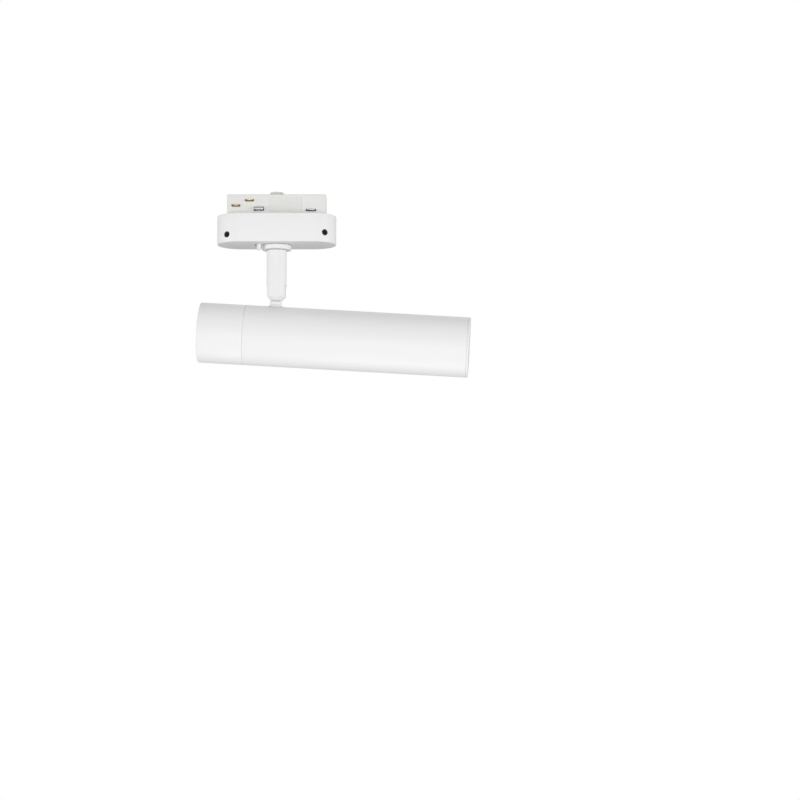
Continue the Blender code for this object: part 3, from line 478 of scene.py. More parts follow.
def end_tree(tree, shape, look):
    real = wired(tree, "GeometryNodeRealizeInstances", {0: shape})
    painted = wired(tree, "GeometryNodeSetMaterial", {"Geometry": real.outputs[0], "Material": look})
    wired(tree, "NodeGroupOutput", {0: painted.outputs[0]})


lathe_tree, given = new_tree("lathe", [("Steps", "Int", 96), ("Finish", "Material", None)])
profile_curve = wired(lathe_tree, "GeometryNodeMeshToCurve", {0: given["Geometry"]})
path = wired(lathe_tree, "GeometryNodeCurvePrimitiveCircle", {
    "Resolution": given["Steps"], "Radius": PATH_RADIUS,
})
swept = wired(lathe_tree, "GeometryNodeCurveToMesh", {
    0: path.outputs[0], "Profile Curve": profile_curve.outputs[0],
})
merged = wired(lathe_tree, "GeometryNodeMergeByDistance", {
    "Geometry": swept.outputs[0], "Distance": WELD,
})
end_tree(lathe_tree, merged.outputs[0], given["Finish"])
print("tree lathe")

# %% Running a tree, and baking the result to a plain mesh
def show(name, mesh):
    made = bpy.data.objects.new(name, mesh)
    scene.collection.objects.link(made)
    return made


def baked(source, name):
    """A plain object at the origin, made of what the source shows. The source is used up."""
    bpy.context.view_layer.update()
    graph = bpy.context.evaluated_depsgraph_get()
    mesh = bpy.data.meshes.new_from_object(source.evaluated_get(graph))
    mesh.transform(source.matrix_world)
    mesh.name = name
    bpy.data.objects.remove(source, do_unlink=True)
    return show(name, mesh)


def run_tree(source, tree, **values):
    """Adds the tree as a modifier, with its inputs set by their identifiers."""
    modifier = source.modifiers.new(tree.name, "NODES")
    modifier.node_group = tree
    for item in tree.interface.items_tree:
        label = item.name.replace(" ", "_").lower()
        if item.item_type == "SOCKET" and item.in_out == "INPUT" and label in values:
            modifier[item.identifier] = values[label]
    return source


print("helpers for running trees")


# %% Rounding the corners of an outline
def softened(points, closed, steps=4):
    """The outline with each corner that gives a radius as its third value made an arc."""
    made = []
    count = len(points)
    for index, point in enumerate(points):
        corner = Vector(point[:2])
        ends = not closed and index in (0, count - 1)
        if len(point) == 2 or ends:
            made.append(corner)
            continue
        before = Vector(points[index - 1][:2]) - corner
        after = Vector(points[(index + 1) % count][:2]) - corner
        half = before.angle(after) / 2
        reach = min(point[2] / math.tan(half), 0.49 * before.length, 0.49 * after.length)
        radius = reach * math.tan(half)
        middle = corner + (before.normalized() + after.normalized()).normalized() * radius / math.sin(half)
        first = corner + before.normalized() * reach - middle
        last = corner + after.normalized() * reach - middle
        span = first.angle_signed(last)
        for step in range(steps + 1):
            made.append(middle + Matrix.Rotation(-span * step / steps, 2) @ first)
    return made


print("a rounded square corner has", len(softened([(1, 0), (0, 0, 0.1), (0, 1)], False)) - 2, "points")


# %% Turning
def lathe(name, profile, place, steps=96, ring=True):
    """A turned piece. The profile's (radius, height) pairs run down its outer side."""
    outline = softened(profile, ring)
    mesh = bpy.data.meshes.new(name + "_profile")
    edges = [(i, i + 1) for i in range(len(outline) - 1)]
    if ring:
        edges.append((len(outline) - 1, 0))
    mesh.from_pydata([(p.x - PATH_RADIUS, -p.y, 0) for p in outline], edges, [])
    source = run_tree(show(name + "_profile", mesh), lathe_tree, steps=steps)
    source.matrix_world = place
    return baked(source, name)


print("helpers for turning")

# %% [markdown]
# ## Tools for flat and cut pieces
# Plates and blocks are outlines raised to a height with a Bevel on their edges. Holes and slots
# are cut by an exact Boolean with a tool body that is removed afterwards.

# %% Outlines and blocks
SHARP = math.radians(40)


def arc(radius, first, last, steps, middle=(0, 0)):
    """Points on an arc, from the first angle to the last."""
    angles = [first + (last - first) * step / steps for step in range(steps + 1)]
    return [(middle[0] + radius * math.cos(a), middle[1] + radius * math.sin(a)) for a in angles]


def stadium(length, width, steps=40):
    """An outline with two straight sides and round ends."""
    radius = width / 2
    reach = length / 2 - radius
    right = arc(radius, -math.pi / 2, math.pi / 2, steps, (reach, 0))
    return right + arc(radius, math.pi / 2, 1.5 * math.pi, steps, (-reach, 0))


def prism(name, outline, low, high, place=ROOT, bevel=0.0, bevel_steps=3):
    """An outline in XY raised from low to high, with its sharp edges rounded."""
    shape = bmesh.new()
    face = shape.faces.new([shape.verts.new((x, y, low)) for x, y in outline])
    raised = bmesh.ops.extrude_face_region(shape, geom=[face])
    moved = [item for item in raised["geom"] if isinstance(item, bmesh.types.BMVert)]
    bmesh.ops.translate(shape, verts=moved, vec=(0, 0, high - low))
    bmesh.ops.recalc_face_normals(shape, faces=shape.faces)
    if bevel:
        sharp = [edge for edge in shape.edges if edge.calc_face_angle(0) > SHARP]
        bmesh.ops.bevel(
            shape, geom=sharp, offset=bevel, segments=bevel_steps, profile=0.5, affect="EDGES",
            clamp_overlap=True,
        )
    mesh = bpy.data.meshes.new(name)
    shape.to_mesh(mesh)
    shape.free()
    mesh.transform(place)
    return show(name, mesh)


def block(name, low, high, place=ROOT, bevel=0.0, bevel_steps=3):
    outline = [(low[0], low[1]), (high[0], low[1]), (high[0], high[1]), (low[0], high[1])]
    return prism(name, outline, low[2], high[2], place, bevel, bevel_steps)


def side_block(name, sign, ends, depths, levels, place=ROOT, **rounding):
    """A block beside the middle plane: from x to x, depth to depth on one side, z to z."""
    near, far = sorted(sign * depth for depth in depths)
    return block(name, (ends[0], near, levels[0]), (ends[1], far, levels[1]), place, **rounding)


print("helpers for blocks")


# %% Round bars and cuts
def towards(start, end):
    """The matrix that stands a piece on start and points its Z axis at end."""
    start, end = Vector(start), Vector(end)
    turn = (end - start).to_track_quat("Z", "Y").to_matrix().to_4x4()
    return Matrix.Translation(start) @ turn


def bar(name, start, end, radius, place=ROOT, sides=48):
    """A round bar between two points. With few sides it is a key for a socket."""
    length = (Vector(end) - Vector(start)).length
    return prism(name, arc(radius, 0, math.tau, sides)[:-1], 0, length, place @ towards(start, end))


def combined(piece, operation, tools):
    """The piece with the tools cut from it or joined to it. The tools are used up."""
    for tool in tools:
        modifier = piece.modifiers.new(tool.name, "BOOLEAN")
        modifier.operation = operation
        modifier.solver = "EXACT"
        modifier.object = tool
    name = piece.name
    piece.name = name + "_raw"
    made = baked(piece, name)
    for tool in tools:
        bpy.data.objects.remove(tool, do_unlink=True)
    return made


print("helpers for bars and cuts")


# %% Dressing a finished piece
def dress(piece, body, slot, *nodes, sharp=30):
    """Gives a finished piece its finish and its body, and hides the CAD nodes it stands for."""
    piece.data.materials.clear()
    piece.data.materials.append(LOOKS[slot])
    piece.data.shade_smooth()
    piece.data.set_sharp_from_angle(angle=math.radians(sharp))
    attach(piece, body)
    if nodes:
        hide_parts(*nodes)
    print(piece.name, len(piece.data.polygons), "faces")


print("dress() is ready")

# %% [markdown]
# ## Head tube
# The tube is turned aluminium with a satin white coat. Its wall is a rounded rectangle swept
# round the axis, which is exactly what the lathe tree does. The stud of the knuckle goes
# through a hole on top.

# %% Head tube
TUBE_INSIDE = 0.0183
EDGE, FRONT_EDGE = 0.00024, 0.0001
HAIRLINE = 0.00004
FINE = 144
low, high = corners("head_tube", TUBE)
seam_back = low.x - 0.0002
seam_front = high.x + 0.00015
tube_back, tube_front = seam_back + HAIRLINE, seam_front - HAIRLINE
wall = [
    (TUBE_INSIDE, tube_front), (TUBE_RADIUS, tube_front, FRONT_EDGE),
    (TUBE_RADIUS, tube_back, EDGE), (TUBE_INSIDE, tube_back),
]
tube = lathe("tube_wall", wall, ALONG, steps=FINE)
tube = combined(tube, "DIFFERENCE", [bar("stud_way", (0, 0, 0.015), (0, 0, 0.023), 0.0033, TUBE)])
dress(tube, "head", "white_coat", "head_tube")

# %% [markdown]
# ## Rear cap
# The cap closes the driver space. Its spigot slides into the tube and carries a rubber seal, so
# only a hair line shows where the two meet.

# %% Rear cap and its seal
low, high = corners("rear_cap", TUBE)
cap_back, cap_front = low.x, high.x
shoulder = seam_back - HAIRLINE
SPIGOT, CAP_INSIDE, GROOVE = 0.0180, 0.0170, 0.01735
groove_front = seam_back + 0.0032
groove_back = groove_front - 0.0012
cap = [
    (0, cap_back + 0.0025), (CAP_INSIDE, cap_back + 0.0025, 0.001), (CAP_INSIDE, cap_front),
    (SPIGOT, cap_front, 0.0003), (SPIGOT, groove_front), (GROOVE, groove_front),
    (GROOVE, groove_back), (SPIGOT, groove_back), (SPIGOT, shoulder),
    (TUBE_RADIUS, shoulder, EDGE), (TUBE_RADIUS, cap_back, 0.0009), (0, cap_back),
]
dress(lathe("end_cap", cap, ALONG, steps=FINE, ring=False), "head", "white_coat", "rear_cap")
SEAL_RADIUS, SEAL_THICKNESS = 0.0179, 0.00025
middle = (groove_front + groove_back) / 2
seal = arc(SEAL_THICKNESS, 0, -math.tau, 12, (SEAL_RADIUS, middle))[:-1]
dress(lathe("end_cap_seal", seal, ALONG), "head", "rubber", "cap_seal")

# %% [markdown]
# ## Front bezel, baffle and glass
# The bezel screws into the tube and holds the glass stack. Behind it a matt black baffle hides
# the glare: its wall is cut into fine saw-tooth rings, so light that strikes it is thrown
# back. A loop gives the profile its teeth, and the lathe turns them into rings.

# %% Bezel
low, high = corners("front_bezel", TUBE)
bezel_front, spigot_back = high.x, low.x
bezel_back = seam_front + HAIRLINE
LIP, BEZEL_INSIDE = 0.0159, 0.0172
lip_back = bezel_back - 0.0002
bezel = [
    (LIP, bezel_front, 0.0003), (TUBE_RADIUS, bezel_front, 0.0010),
    (TUBE_RADIUS, bezel_back, FRONT_EDGE), (SPIGOT, bezel_back), (SPIGOT, spigot_back),
    (BEZEL_INSIDE, spigot_back), (BEZEL_INSIDE, lip_back), (LIP, lip_back),
]
dress(lathe("bezel_ring", bezel, ALONG, steps=FINE), "head", "white_coat", "front_bezel")

# %% Baffle
low, high = corners("baffle", TUBE)
baffle_back, baffle_front = low.x, high.x
STACK_INSIDE, STACK_OUTSIDE = 0.0168, 0.0178
BAFFLE_OUTSIDE, FLANGE = 0.0169, 0.0012
TEETH, TOOTH_BORE, TOOTH_DEPTH, FLARE = 11, 0.0149, 0.0005, 0.0007
pitch = (baffle_front - baffle_back) / TEETH
teeth = [
    (BAFFLE_OUTSIDE, baffle_front), (BAFFLE_OUTSIDE, baffle_back + FLANGE),
    (STACK_OUTSIDE, baffle_back + FLANGE), (STACK_OUTSIDE, baffle_back),
]
for tooth in range(TEETH):
    bore = TOOTH_BORE + FLARE * tooth / TEETH
    teeth.append((bore, baffle_back + pitch * tooth))
    teeth.append((bore + TOOTH_DEPTH, baffle_back + pitch * (tooth + 0.92)))
dress(lathe("anti_glare_baffle", teeth, ALONG, steps=FINE), "head", "black_baffle", "baffle", sharp=20)

# %% Glass and its seal
low, high = corners("front_glass", TUBE)
pane = [
    (0, high.x), (STACK_OUTSIDE, high.x, 0.0003), (STACK_OUTSIDE, low.x, 0.0003), (0, low.x),
]
dress(lathe("glass_disc", pane, ALONG, ring=False), "head", "glass", "front_glass")
low, high = corners("glass_seal", TUBE)
gasket = [
    (STACK_INSIDE, high.x, 0.0002), (STACK_OUTSIDE, high.x, 0.0002),
    (STACK_OUTSIDE, low.x, 0.0002), (STACK_INSIDE, low.x, 0.0002),
]
dress(lathe("glass_gasket", gasket, ALONG), "head", "rubber", "glass_seal")

# %% [markdown]
# ## Faceted reflector
# The reflector is spun to a parabola and pressed into facets that mix the light. Facets follow a
# rule, so Geometry Nodes make them: a flat grid is rolled up round the axis, with every second
# row turned half a step, and left flat-shaded. Solidify then gives the sheet its thickness.

# %% Geometry Nodes: a rolled grid of facets
def rolled_tree():
    """The tree that rolls a flat grid into a bowl of facets."""
    tree, given = new_tree("rolled_facets", [
        ("Columns", "Int", 36), ("Rows", "Int", 9), ("Back radius", "Float", 0.008),
        ("Front radius", "Float", 0.016), ("Depth", "Float", 0.02), ("Power", "Float", 0.6),
        ("Finish", "Material", None),
    ])

    def calc(operation, first, second=0.0):
        return wired(tree, "ShaderNodeMath", {0: first, 1: second}, operation=operation).outputs[0]

    points = calc("ADD", given["Columns"], 1.0)
    lines_across = calc("ADD", given["Rows"], 1.0)
    sheet = wired(tree, "GeometryNodeMeshGrid", {
        "Size X": 1.0, "Size Y": 1.0, "Vertices X": points, "Vertices Y": lines_across,
    })
    index = wired(tree, "GeometryNodeInputIndex").outputs[0]
    column = calc("FLOOR", calc("DIVIDE", calc("ADD", index, 0.25), lines_across))
    row = calc("SUBTRACT", index, calc("MULTIPLY", column, lines_across))
    shifted = calc("ADD", column, calc("MULTIPLY", calc("MODULO", row, 2.0), 0.5))
    angle = calc("MULTIPLY", calc("DIVIDE", shifted, given["Columns"]), math.tau)
    share = calc("DIVIDE", row, given["Rows"])
    spread = calc("SUBTRACT", given["Front radius"], given["Back radius"])
    widening = calc("MULTIPLY", calc("POWER", share, given["Power"]), spread)
    radius = calc("ADD", widening, given["Back radius"])
    place = wired(tree, "ShaderNodeCombineXYZ", {
        0: calc("MULTIPLY", radius, calc("COSINE", angle)),
        1: calc("MULTIPLY", radius, calc("SINE", angle)),
        2: calc("MULTIPLY", share, given["Depth"]),
    })
    rolled = wired(tree, "GeometryNodeSetPosition", {
        "Geometry": sheet.outputs[0], "Position": place.outputs[0],
    })
    joined = wired(tree, "GeometryNodeMergeByDistance", {
        "Geometry": rolled.outputs[0], "Distance": WELD,
    })
    end_tree(tree, joined.outputs[0], given["Finish"])
    return tree


print("rolled_tree() is ready")

# %% The bowl as a thin sheet
low, high = corners("reflector", TUBE)
bowl_back, bowl_front = low.x, high.x
BOWL_WALL = 0.0006
source = show("bowl_source", bpy.data.meshes.new("bowl_source"))
run_tree(
    source, rolled_tree(), columns=40, rows=10, back_radius=0.0084, front_radius=0.0164,
    depth=bowl_front - bowl_back, power=0.6, finish=LOOKS["reflector_aluminium"],
)
source.matrix_world = ALONG @ Matrix.Translation((0, 0, bowl_back))
bowl = baked(source, "bowl_sheet")
print("the bowl has", len(bowl.data.polygons), "facets")

# %% Facing the sheet inwards, and giving it a thickness
shape = bmesh.new()
shape.from_mesh(bowl.data)
bmesh.ops.recalc_face_normals(shape, faces=shape.faces)
axis_point = TUBE @ Vector((0.100, 0, 0))
nearest = min(shape.faces, key=lambda face: (face.calc_center_median() - axis_point).length)
if nearest.normal.dot(nearest.calc_center_median() - axis_point) > 0:
    bmesh.ops.reverse_faces(shape, faces=shape.faces)
shape.to_mesh(bowl.data)
shape.free()
thick = bowl.modifiers.new("sheet", "SOLIDIFY")
thick.thickness = BOWL_WALL
thick.offset = -1.0
bowl = baked(bowl, "reflector_bowl")
dress(bowl, "head", "reflector_aluminium", "reflector", sharp=1)
RIM_THICKNESS = 0.001
rim = [
    (STACK_INSIDE, bowl_front), (STACK_OUTSIDE, bowl_front),
    (STACK_OUTSIDE, bowl_front - RIM_THICKNESS), (STACK_INSIDE, bowl_front - RIM_THICKNESS),
]
dress(lathe("reflector_rim", rim, ALONG), "head", "reflector_aluminium")

# %% [markdown]
# ## Light source
# The emitter is a round field of phosphor gel inside a low white dam, on the metal board. A
# plastic holder clamps it, and two screws go through to the heat sink.

# %% Emitter, dam and holder
low, high = corners("led_emitter", TUBE)
GEL_RADIUS, DAM_INSIDE, DAM_OUTSIDE = 0.0062, 0.0063, 0.0070
gel = [(0, high.x), (GEL_RADIUS, high.x - 0.0001, 0.0002), (GEL_RADIUS, low.x), (0, low.x)]
dress(lathe("phosphor_gel", gel, ALONG, ring=False), "head", "phosphor", "led_emitter")
dam = [
    (DAM_INSIDE, high.x, 0.0002), (DAM_OUTSIDE, high.x, 0.0002),
    (DAM_OUTSIDE, low.x), (DAM_INSIDE, low.x),
]
dress(lathe("gel_dam", dam, ALONG), "head", "white_plastic")
low, high = corners("led_holder", TUBE)
HOLDER_RADIUS, WINDOW_FRONT, WINDOW_BACK = 0.0174, 0.0104, 0.0088
SCREW_CIRCLE, SCREW_WAY = 0.0152, 0.0018
THROUGH = 0.001
holder = [
    (WINDOW_FRONT, high.x), (HOLDER_RADIUS, high.x, 0.0006), (HOLDER_RADIUS, low.x),
    (WINDOW_BACK, low.x), (WINDOW_BACK, low.x + 0.001, 0.0002),
]
holder = lathe("holder_ring", holder, ALONG)
ways = []
for sign in (-1, 1):
    back = (low.x - THROUGH, sign * SCREW_CIRCLE, 0)
    front = (high.x + THROUGH, sign * SCREW_CIRCLE, 0)
    ways.append(bar("screw_way_%d" % sign, back, front, SCREW_WAY, TUBE))
dress(combined(holder, "DIFFERENCE", ways), "head", "white_plastic", "led_holder")

# %% [markdown]
# ## Stem and fork
# The stem is a turned tube with its lower end tapered and rounded off. A slot through the middle
# makes it a fork for the knuckle's tongue, and the tilt screw goes in from the back, so the front
# shows plain metal. The slot and the screw's seat are cut after turning, as on a milling machine.

# %% Stem
low, high = corners("stem")
stem_low, stem_high = low.z, high.z
STEM_RADIUS = (high.y - low.y) / 2
FORK_HALF_GAP, FORK_TOP, PIN_HOLE = 0.0028, -0.0465, 0.0018
NIPPLE_BORE, LEAD_BORE, STEP_HEIGHT = 0.0040, 0.0023, -0.0305
TAPER_HEIGHT, TAPER_DEPTH = 0.0028, 0.0023
stem_wall = [
    (NIPPLE_BORE, stem_high), (STEM_RADIUS, stem_high, 0.0004),
    (STEM_RADIUS, stem_low + TAPER_HEIGHT, 0.0020), (STEM_RADIUS - TAPER_DEPTH, stem_low, 0.0012),
    (LEAD_BORE, stem_low), (LEAD_BORE, STEP_HEIGHT), (NIPPLE_BORE, STEP_HEIGHT),
]
tilt_height = tilt_point.z
stem = lathe("stem_tube", stem_wall, STEM)
slot_low, slot_high = (-0.010, -FORK_HALF_GAP, stem_low - 0.002), (0.010, FORK_HALF_GAP, FORK_TOP)
slot_tool = block("slot_tool", slot_low, slot_high, STEM)
bore_tool = bar("bore_tool", (0, -0.0053, tilt_height), (0, 0.0045, tilt_height), PIN_HOLE, STEM)
seat_tool = bar("seat_tool", (0, 0.0037, tilt_height), (0, 0.0090, tilt_height), 0.0029, STEM)
stem = combined(stem, "DIFFERENCE", [slot_tool, bore_tool, seat_tool])
dress(stem, "stem", "white_coat", "stem")

# %% [markdown]
# ## Tilt screw and friction washers
# The screw has a low round head with a hexagon socket. The socket is a six-sided tool cut from
# the turned blank.

# %% Tilt screw and washers
sideways = STEM @ Matrix.Translation((0, 0, tilt_height)) @ Matrix.Rotation(-math.pi / 2, 4, "X")
low, high = corners("tilt_screw", STEM)
CAP_RADIUS, SHANK_RADIUS, UNDER_CAP = 0.0026, 0.0015, 0.0040
screw = [
    (0, high.y), (CAP_RADIUS, high.y, 0.0006), (CAP_RADIUS, UNDER_CAP, 0.0002),
    (SHANK_RADIUS, UNDER_CAP), (SHANK_RADIUS, low.y, 0.0004), (0, low.y),
]
screw = lathe("tilt_screw_body", screw, sideways, steps=64, ring=False)
socket = bar("socket_tool", (0, 0, 0.0046), (0, 0, 0.0080), 0.0012, sideways, sides=6)
dress(combined(screw, "DIFFERENCE", [socket]), "stem", "steel", "tilt_screw")
WASHER_RADIUS = 0.0034
for side in ("front", "rear"):
    low, high = corners("friction_washer_" + side, STEM)
    washer = [
        (PIN_HOLE, high.y), (WASHER_RADIUS, high.y, 0.0001),
        (WASHER_RADIUS, low.y, 0.0001), (PIN_HOLE, low.y),
    ]
    washer = lathe("thin_washer_" + side, washer, sideways, steps=64)
    dress(washer, "stem", "steel", "friction_washer_" + side)

# %% [markdown]
# ## Knuckle
# One machined piece: a flat tongue with a round top, which turns in the fork, and a flared foot
# that sits on the tube like a saddle. The two are joined, then the tube's own cylinder is cut
# away so that the foot follows it. A relief under each cheek of the fork lets it swing past the
# neck, and shows as a thin dark slit.

# %% Knuckle
TONGUE_RADIUS, TONGUE_HALF, TONGUE_LOW = 0.00375, 0.0017, -0.0062
NECK_TOP, NECK_HALF = -0.0052, 0.0025
RELIEF_HALF, RELIEF_FLOOR = 0.0027, 0.0008
drop = (TILT.inverted() @ TUBE).translation.z
upright = TILT @ Matrix.Rotation(math.pi / 2, 4, "X")
tongue = arc(TONGUE_RADIUS, 0, math.pi, 32)
tongue += [(-TONGUE_RADIUS, TONGUE_LOW), (TONGUE_RADIUS, TONGUE_LOW)]
knuckle = prism("knuckle_body", tongue, -TONGUE_HALF, TONGUE_HALF, upright, bevel=0.0003)
FOOT_RADIUS, FOOT_TOP, FOOT_LOW = 0.0050, -0.0073, -0.0102
foot = [
    (0, FOOT_TOP), (0.0036, FOOT_TOP), (0.0041, -0.0079, 0.0008), (FOOT_RADIUS, -0.00835, 0.0003),
    (FOOT_RADIUS, FOOT_LOW), (0, FOOT_LOW),
]
foot = lathe("foot_tool", foot, TILT, ring=False)
NECK_REACH, NECK_CORNER = 0.0038, 0.0016
neck = [(NECK_REACH, -NECK_HALF, NECK_CORNER), (NECK_REACH, NECK_HALF, NECK_CORNER)]
neck += [(-x, -y, r) for x, y, r in neck]
neck = prism("neck_tool", softened(neck, True, 8), -0.0080, NECK_TOP, TILT, bevel=0.0003)
knuckle = combined(knuckle, "UNION", [foot, neck])
print("tongue, neck and foot joined:", len(knuckle.data.polygons), "faces")

# %% Cutting the saddle, the holes and the reliefs
saddle = bar("saddle_tool", (-0.03, 0, drop), (0.03, 0, drop), TUBE_RADIUS + 0.0001, TILT, sides=FINE)
knuckle = combined(knuckle, "DIFFERENCE", [saddle])
stud = bar("stud_tool", (0, 0, -0.0176), (0, 0, -0.0078), 0.0030, TILT)
knuckle = combined(knuckle, "UNION", [stud])
pin_way = bar("pin_way", (0, -0.005, 0), (0, 0.005, 0), PIN_HOLE, TILT)
lead_way = bar("lead_way", (0, 0, -0.0190), (0, 0, -0.0060), 0.0019, TILT)
relief_levels = (NECK_TOP, NECK_TOP + 0.0008)
reliefs = []
for sign in (-1, 1):
    reliefs.append(side_block(
        "relief_tool", sign, (-RELIEF_HALF, RELIEF_HALF), (RELIEF_FLOOR, 0.0030), relief_levels, TILT
    ))
knuckle = combined(knuckle, "DIFFERENCE", [pin_way, lead_way] + reliefs)
dress(knuckle, "head", "white_coat", "knuckle")

# %% [markdown]
# ## Collar
# The collar is the bearing between the adapter and the stem. It is turned, with a soft outer
# edge that catches a thin line of light.

# %% Collar
low, high = corners("swivel_bush")
collar_low, collar_top = low.z, -0.0196
COLLAR_RADIUS = (high.x - low.x) / 2
SPIGOT_RADIUS = 0.0057
collar = [
    (NIPPLE_BORE, high.z), (SPIGOT_RADIUS, high.z, 0.0003), (SPIGOT_RADIUS, collar_top),
    (COLLAR_RADIUS, collar_top, 0.0003), (COLLAR_RADIUS, collar_low, 0.00025),
    (NIPPLE_BORE, collar_low),
]
dress(lathe("collar", collar, ROOT), "root", "white_coat", "swivel_bush")

# %% [markdown]
# ## Adapter housing
# A die-cast cup with round ends. A solid of the outer shape is rounded along its edges, and a
# smaller one is cut from it to leave the wall and floor. Two holes in front let the grub screws
# in, and the lever's tab has a curved slot round the collar.

# %% Housing
low, high = corners("adapter_housing")
LENGTH, WIDTH = high.x - low.x, high.y - low.y
housing_low = low.z
HOUSING_WALL, HOUSING_FLOOR = 0.0016, 0.0020
END_CENTRE = (LENGTH - WIDTH) / 2
GRUB_ANGLE, GRUB_LEAN, GRUB_RADIUS = math.radians(34), math.radians(12), 0.0020
housing = prism("housing_cup", stadium(LENGTH, WIDTH), housing_low, high.z, bevel=0.0006, bevel_steps=5)
inside = stadium(LENGTH - 2 * HOUSING_WALL, WIDTH - 2 * HOUSING_WALL)
tools = [prism("inside_tool", inside, housing_low + HOUSING_FLOOR, 0.002)]
tools.append(bar("spigot_way", (0, 0, housing_low - 0.001), (0, 0, -0.015), SPIGOT_RADIUS + 0.0003))


def on_line(sign, depth, height):
    """A point on a grub screw's line, at this depth under the housing's outside."""
    x = END_CENTRE + WIDTH / 2 * math.sin(GRUB_ANGLE) - depth * math.sin(GRUB_LEAN)
    y = -WIDTH / 2 * math.cos(GRUB_ANGLE) + depth * math.cos(GRUB_LEAN)
    return Vector((sign * x, y, height))


GRUBS = {}
for side, sign in (("left", -1), ("right", 1)):
    low, high = corners("grub_screw_" + side)
    height = (low.z + high.z) / 2
    GRUBS[side] = (sign, height)
    inner, outer = on_line(sign, 0.0042, height), on_line(sign, -0.002, height)
    tools.append(bar("grub_way_" + side, inner, outer, GRUB_RADIUS + 0.0001))
print("grub screws", [round(1000 * facts[1], 2) for facts in GRUBS.values()], "mm high")

# %% The slot for the lever's tab, and cutting the housing
SWING = math.radians(-joints["lock"]["range_deg"][0])
TAB_ANGLE, TAB_RADIUS, SLOT_HALF = math.radians(210), 0.0134, 0.0014
SLOT_SPARE = math.radians(7.5)
slot_ends = (TAB_ANGLE - SWING - SLOT_SPARE, TAB_ANGLE + SLOT_SPARE)
slot_out = arc(TAB_RADIUS + SLOT_HALF, *slot_ends, 24)
slot_in = arc(TAB_RADIUS - SLOT_HALF, *slot_ends, 24)[::-1]
tools.append(prism("tab_slot_tool", slot_out + slot_in, housing_low - 0.001, -0.0165))
dress(combined(housing, "DIFFERENCE", tools), "root", "white_coat", "adapter_housing")

# %% [markdown]
# ## Grub screws
# Two small black cup-point screws hold the housing. Each is turned with a soft rim, and has a
# hexagon socket.

# %% Grub screws
GRUB_LENGTH, GRUB_SOCKET = 0.0052, 0.0011
for side, (sign, height) in GRUBS.items():
    stand = towards(on_line(sign, 0.0057, height), on_line(sign, 0.0005, height))
    body = [
        (0, GRUB_LENGTH), (GRUB_RADIUS, GRUB_LENGTH, 0.0003), (GRUB_RADIUS, 0.0005, 0.0002),
        (0.0013, 0), (0, 0),
    ]
    body = lathe("grub_" + side, body, stand, steps=48, ring=False)
    socket = bar("grub_socket", (0, 0, 0.0035), (0, 0, 0.0060), GRUB_SOCKET, stand, sides=6)
    dress(combined(body, "DIFFERENCE", [socket]), "root", "black_steel", "grub_screw_" + side)

# %% [markdown]
# ## Lock lever
# A flat ring round the collar's spigot with an arm whose tab comes down through the slot. Only
# the tab shows. It is a separate moving piece, so it rides on its own body.

# %% Lock lever
low, high = corners("lock_lever")
tab_low = low.z
turn = Matrix.Rotation(TAB_ANGLE, 4, "Z")
RING_INSIDE, RING_OUTSIDE, RING_LOW, RING_TOP = 0.0061, 0.0125, -0.0170, -0.0156
ARM_HALF, TAB_HALF, TAB_REACH = 0.0015, 0.0014, 0.0010
ring = [
    (RING_INSIDE, RING_TOP, 0.0002), (RING_OUTSIDE, RING_TOP, 0.0003),
    (RING_OUTSIDE, RING_LOW, 0.0003), (RING_INSIDE, RING_LOW, 0.0002),
]
lever = lathe("lever", ring, ROOT)
arm_low = (TAB_RADIUS - 0.0030, -ARM_HALF, -0.0169)
arm_high = (TAB_RADIUS + 0.0012, ARM_HALF, -0.0157)
arm = block("arm_tool", arm_low, arm_high, turn, bevel=0.0002)
tab_start = (TAB_RADIUS - TAB_REACH, -TAB_HALF, tab_low)
tab_end = (TAB_RADIUS + TAB_REACH, TAB_HALF, -0.0160)
tab = block("tab_tool", tab_start, tab_end, turn, bevel=0.0004)
dress(combined(lever, "UNION", [arm, tab]), "lever", "white_plastic", "lock_lever")

# %% [markdown]
# ## Adapter base and insert
# This moulding closes the housing, and its hollow insert goes up into the track. Mouldings have
# soft edges everywhere and are ribbed where a solid wall would sink as it cools. The insert gets
# soft top edges, shallow panels in its sides, and a row of ribs in each panel. On top, one, two
# and three raised pips mark the track's three circuits without words. Ribs and pips repeat, so
# a small tree sets them out on a line.

# %% Geometry Nodes: a row of bars
row_tree, given = new_tree("row_of_bars", [
    ("Count", "Int", 8), ("Step", "Vector", (0.004, 0, 0)),
    ("Size", "Vector", (0.001, 0.001, 0.001)), ("Finish", "Material", None),
])
line = wired(row_tree, "GeometryNodeMeshLine", {"Count": given["Count"], "Offset": given["Step"]})
one = wired(row_tree, "GeometryNodeMeshCube", {"Size": given["Size"]})
spread = wired(row_tree, "GeometryNodeInstanceOnPoints", {
    "Points": line.outputs[0], "Instance": one.outputs[0],
})
end_tree(row_tree, spread.outputs[0], given["Finish"])


def row(name, first, step, size, count, place=ROOT):
    """Equal bars in a line, as one mesh. The first bar's middle is at first."""
    source = show(name + "_source", bpy.data.meshes.new(name + "_source"))
    run_tree(source, row_tree, count=count, step=step, size=size, finish=LOOKS["white_plastic"])
    source.matrix_world = place @ Matrix.Translation(first)
    return baked(source, name)


print("tree row_of_bars")

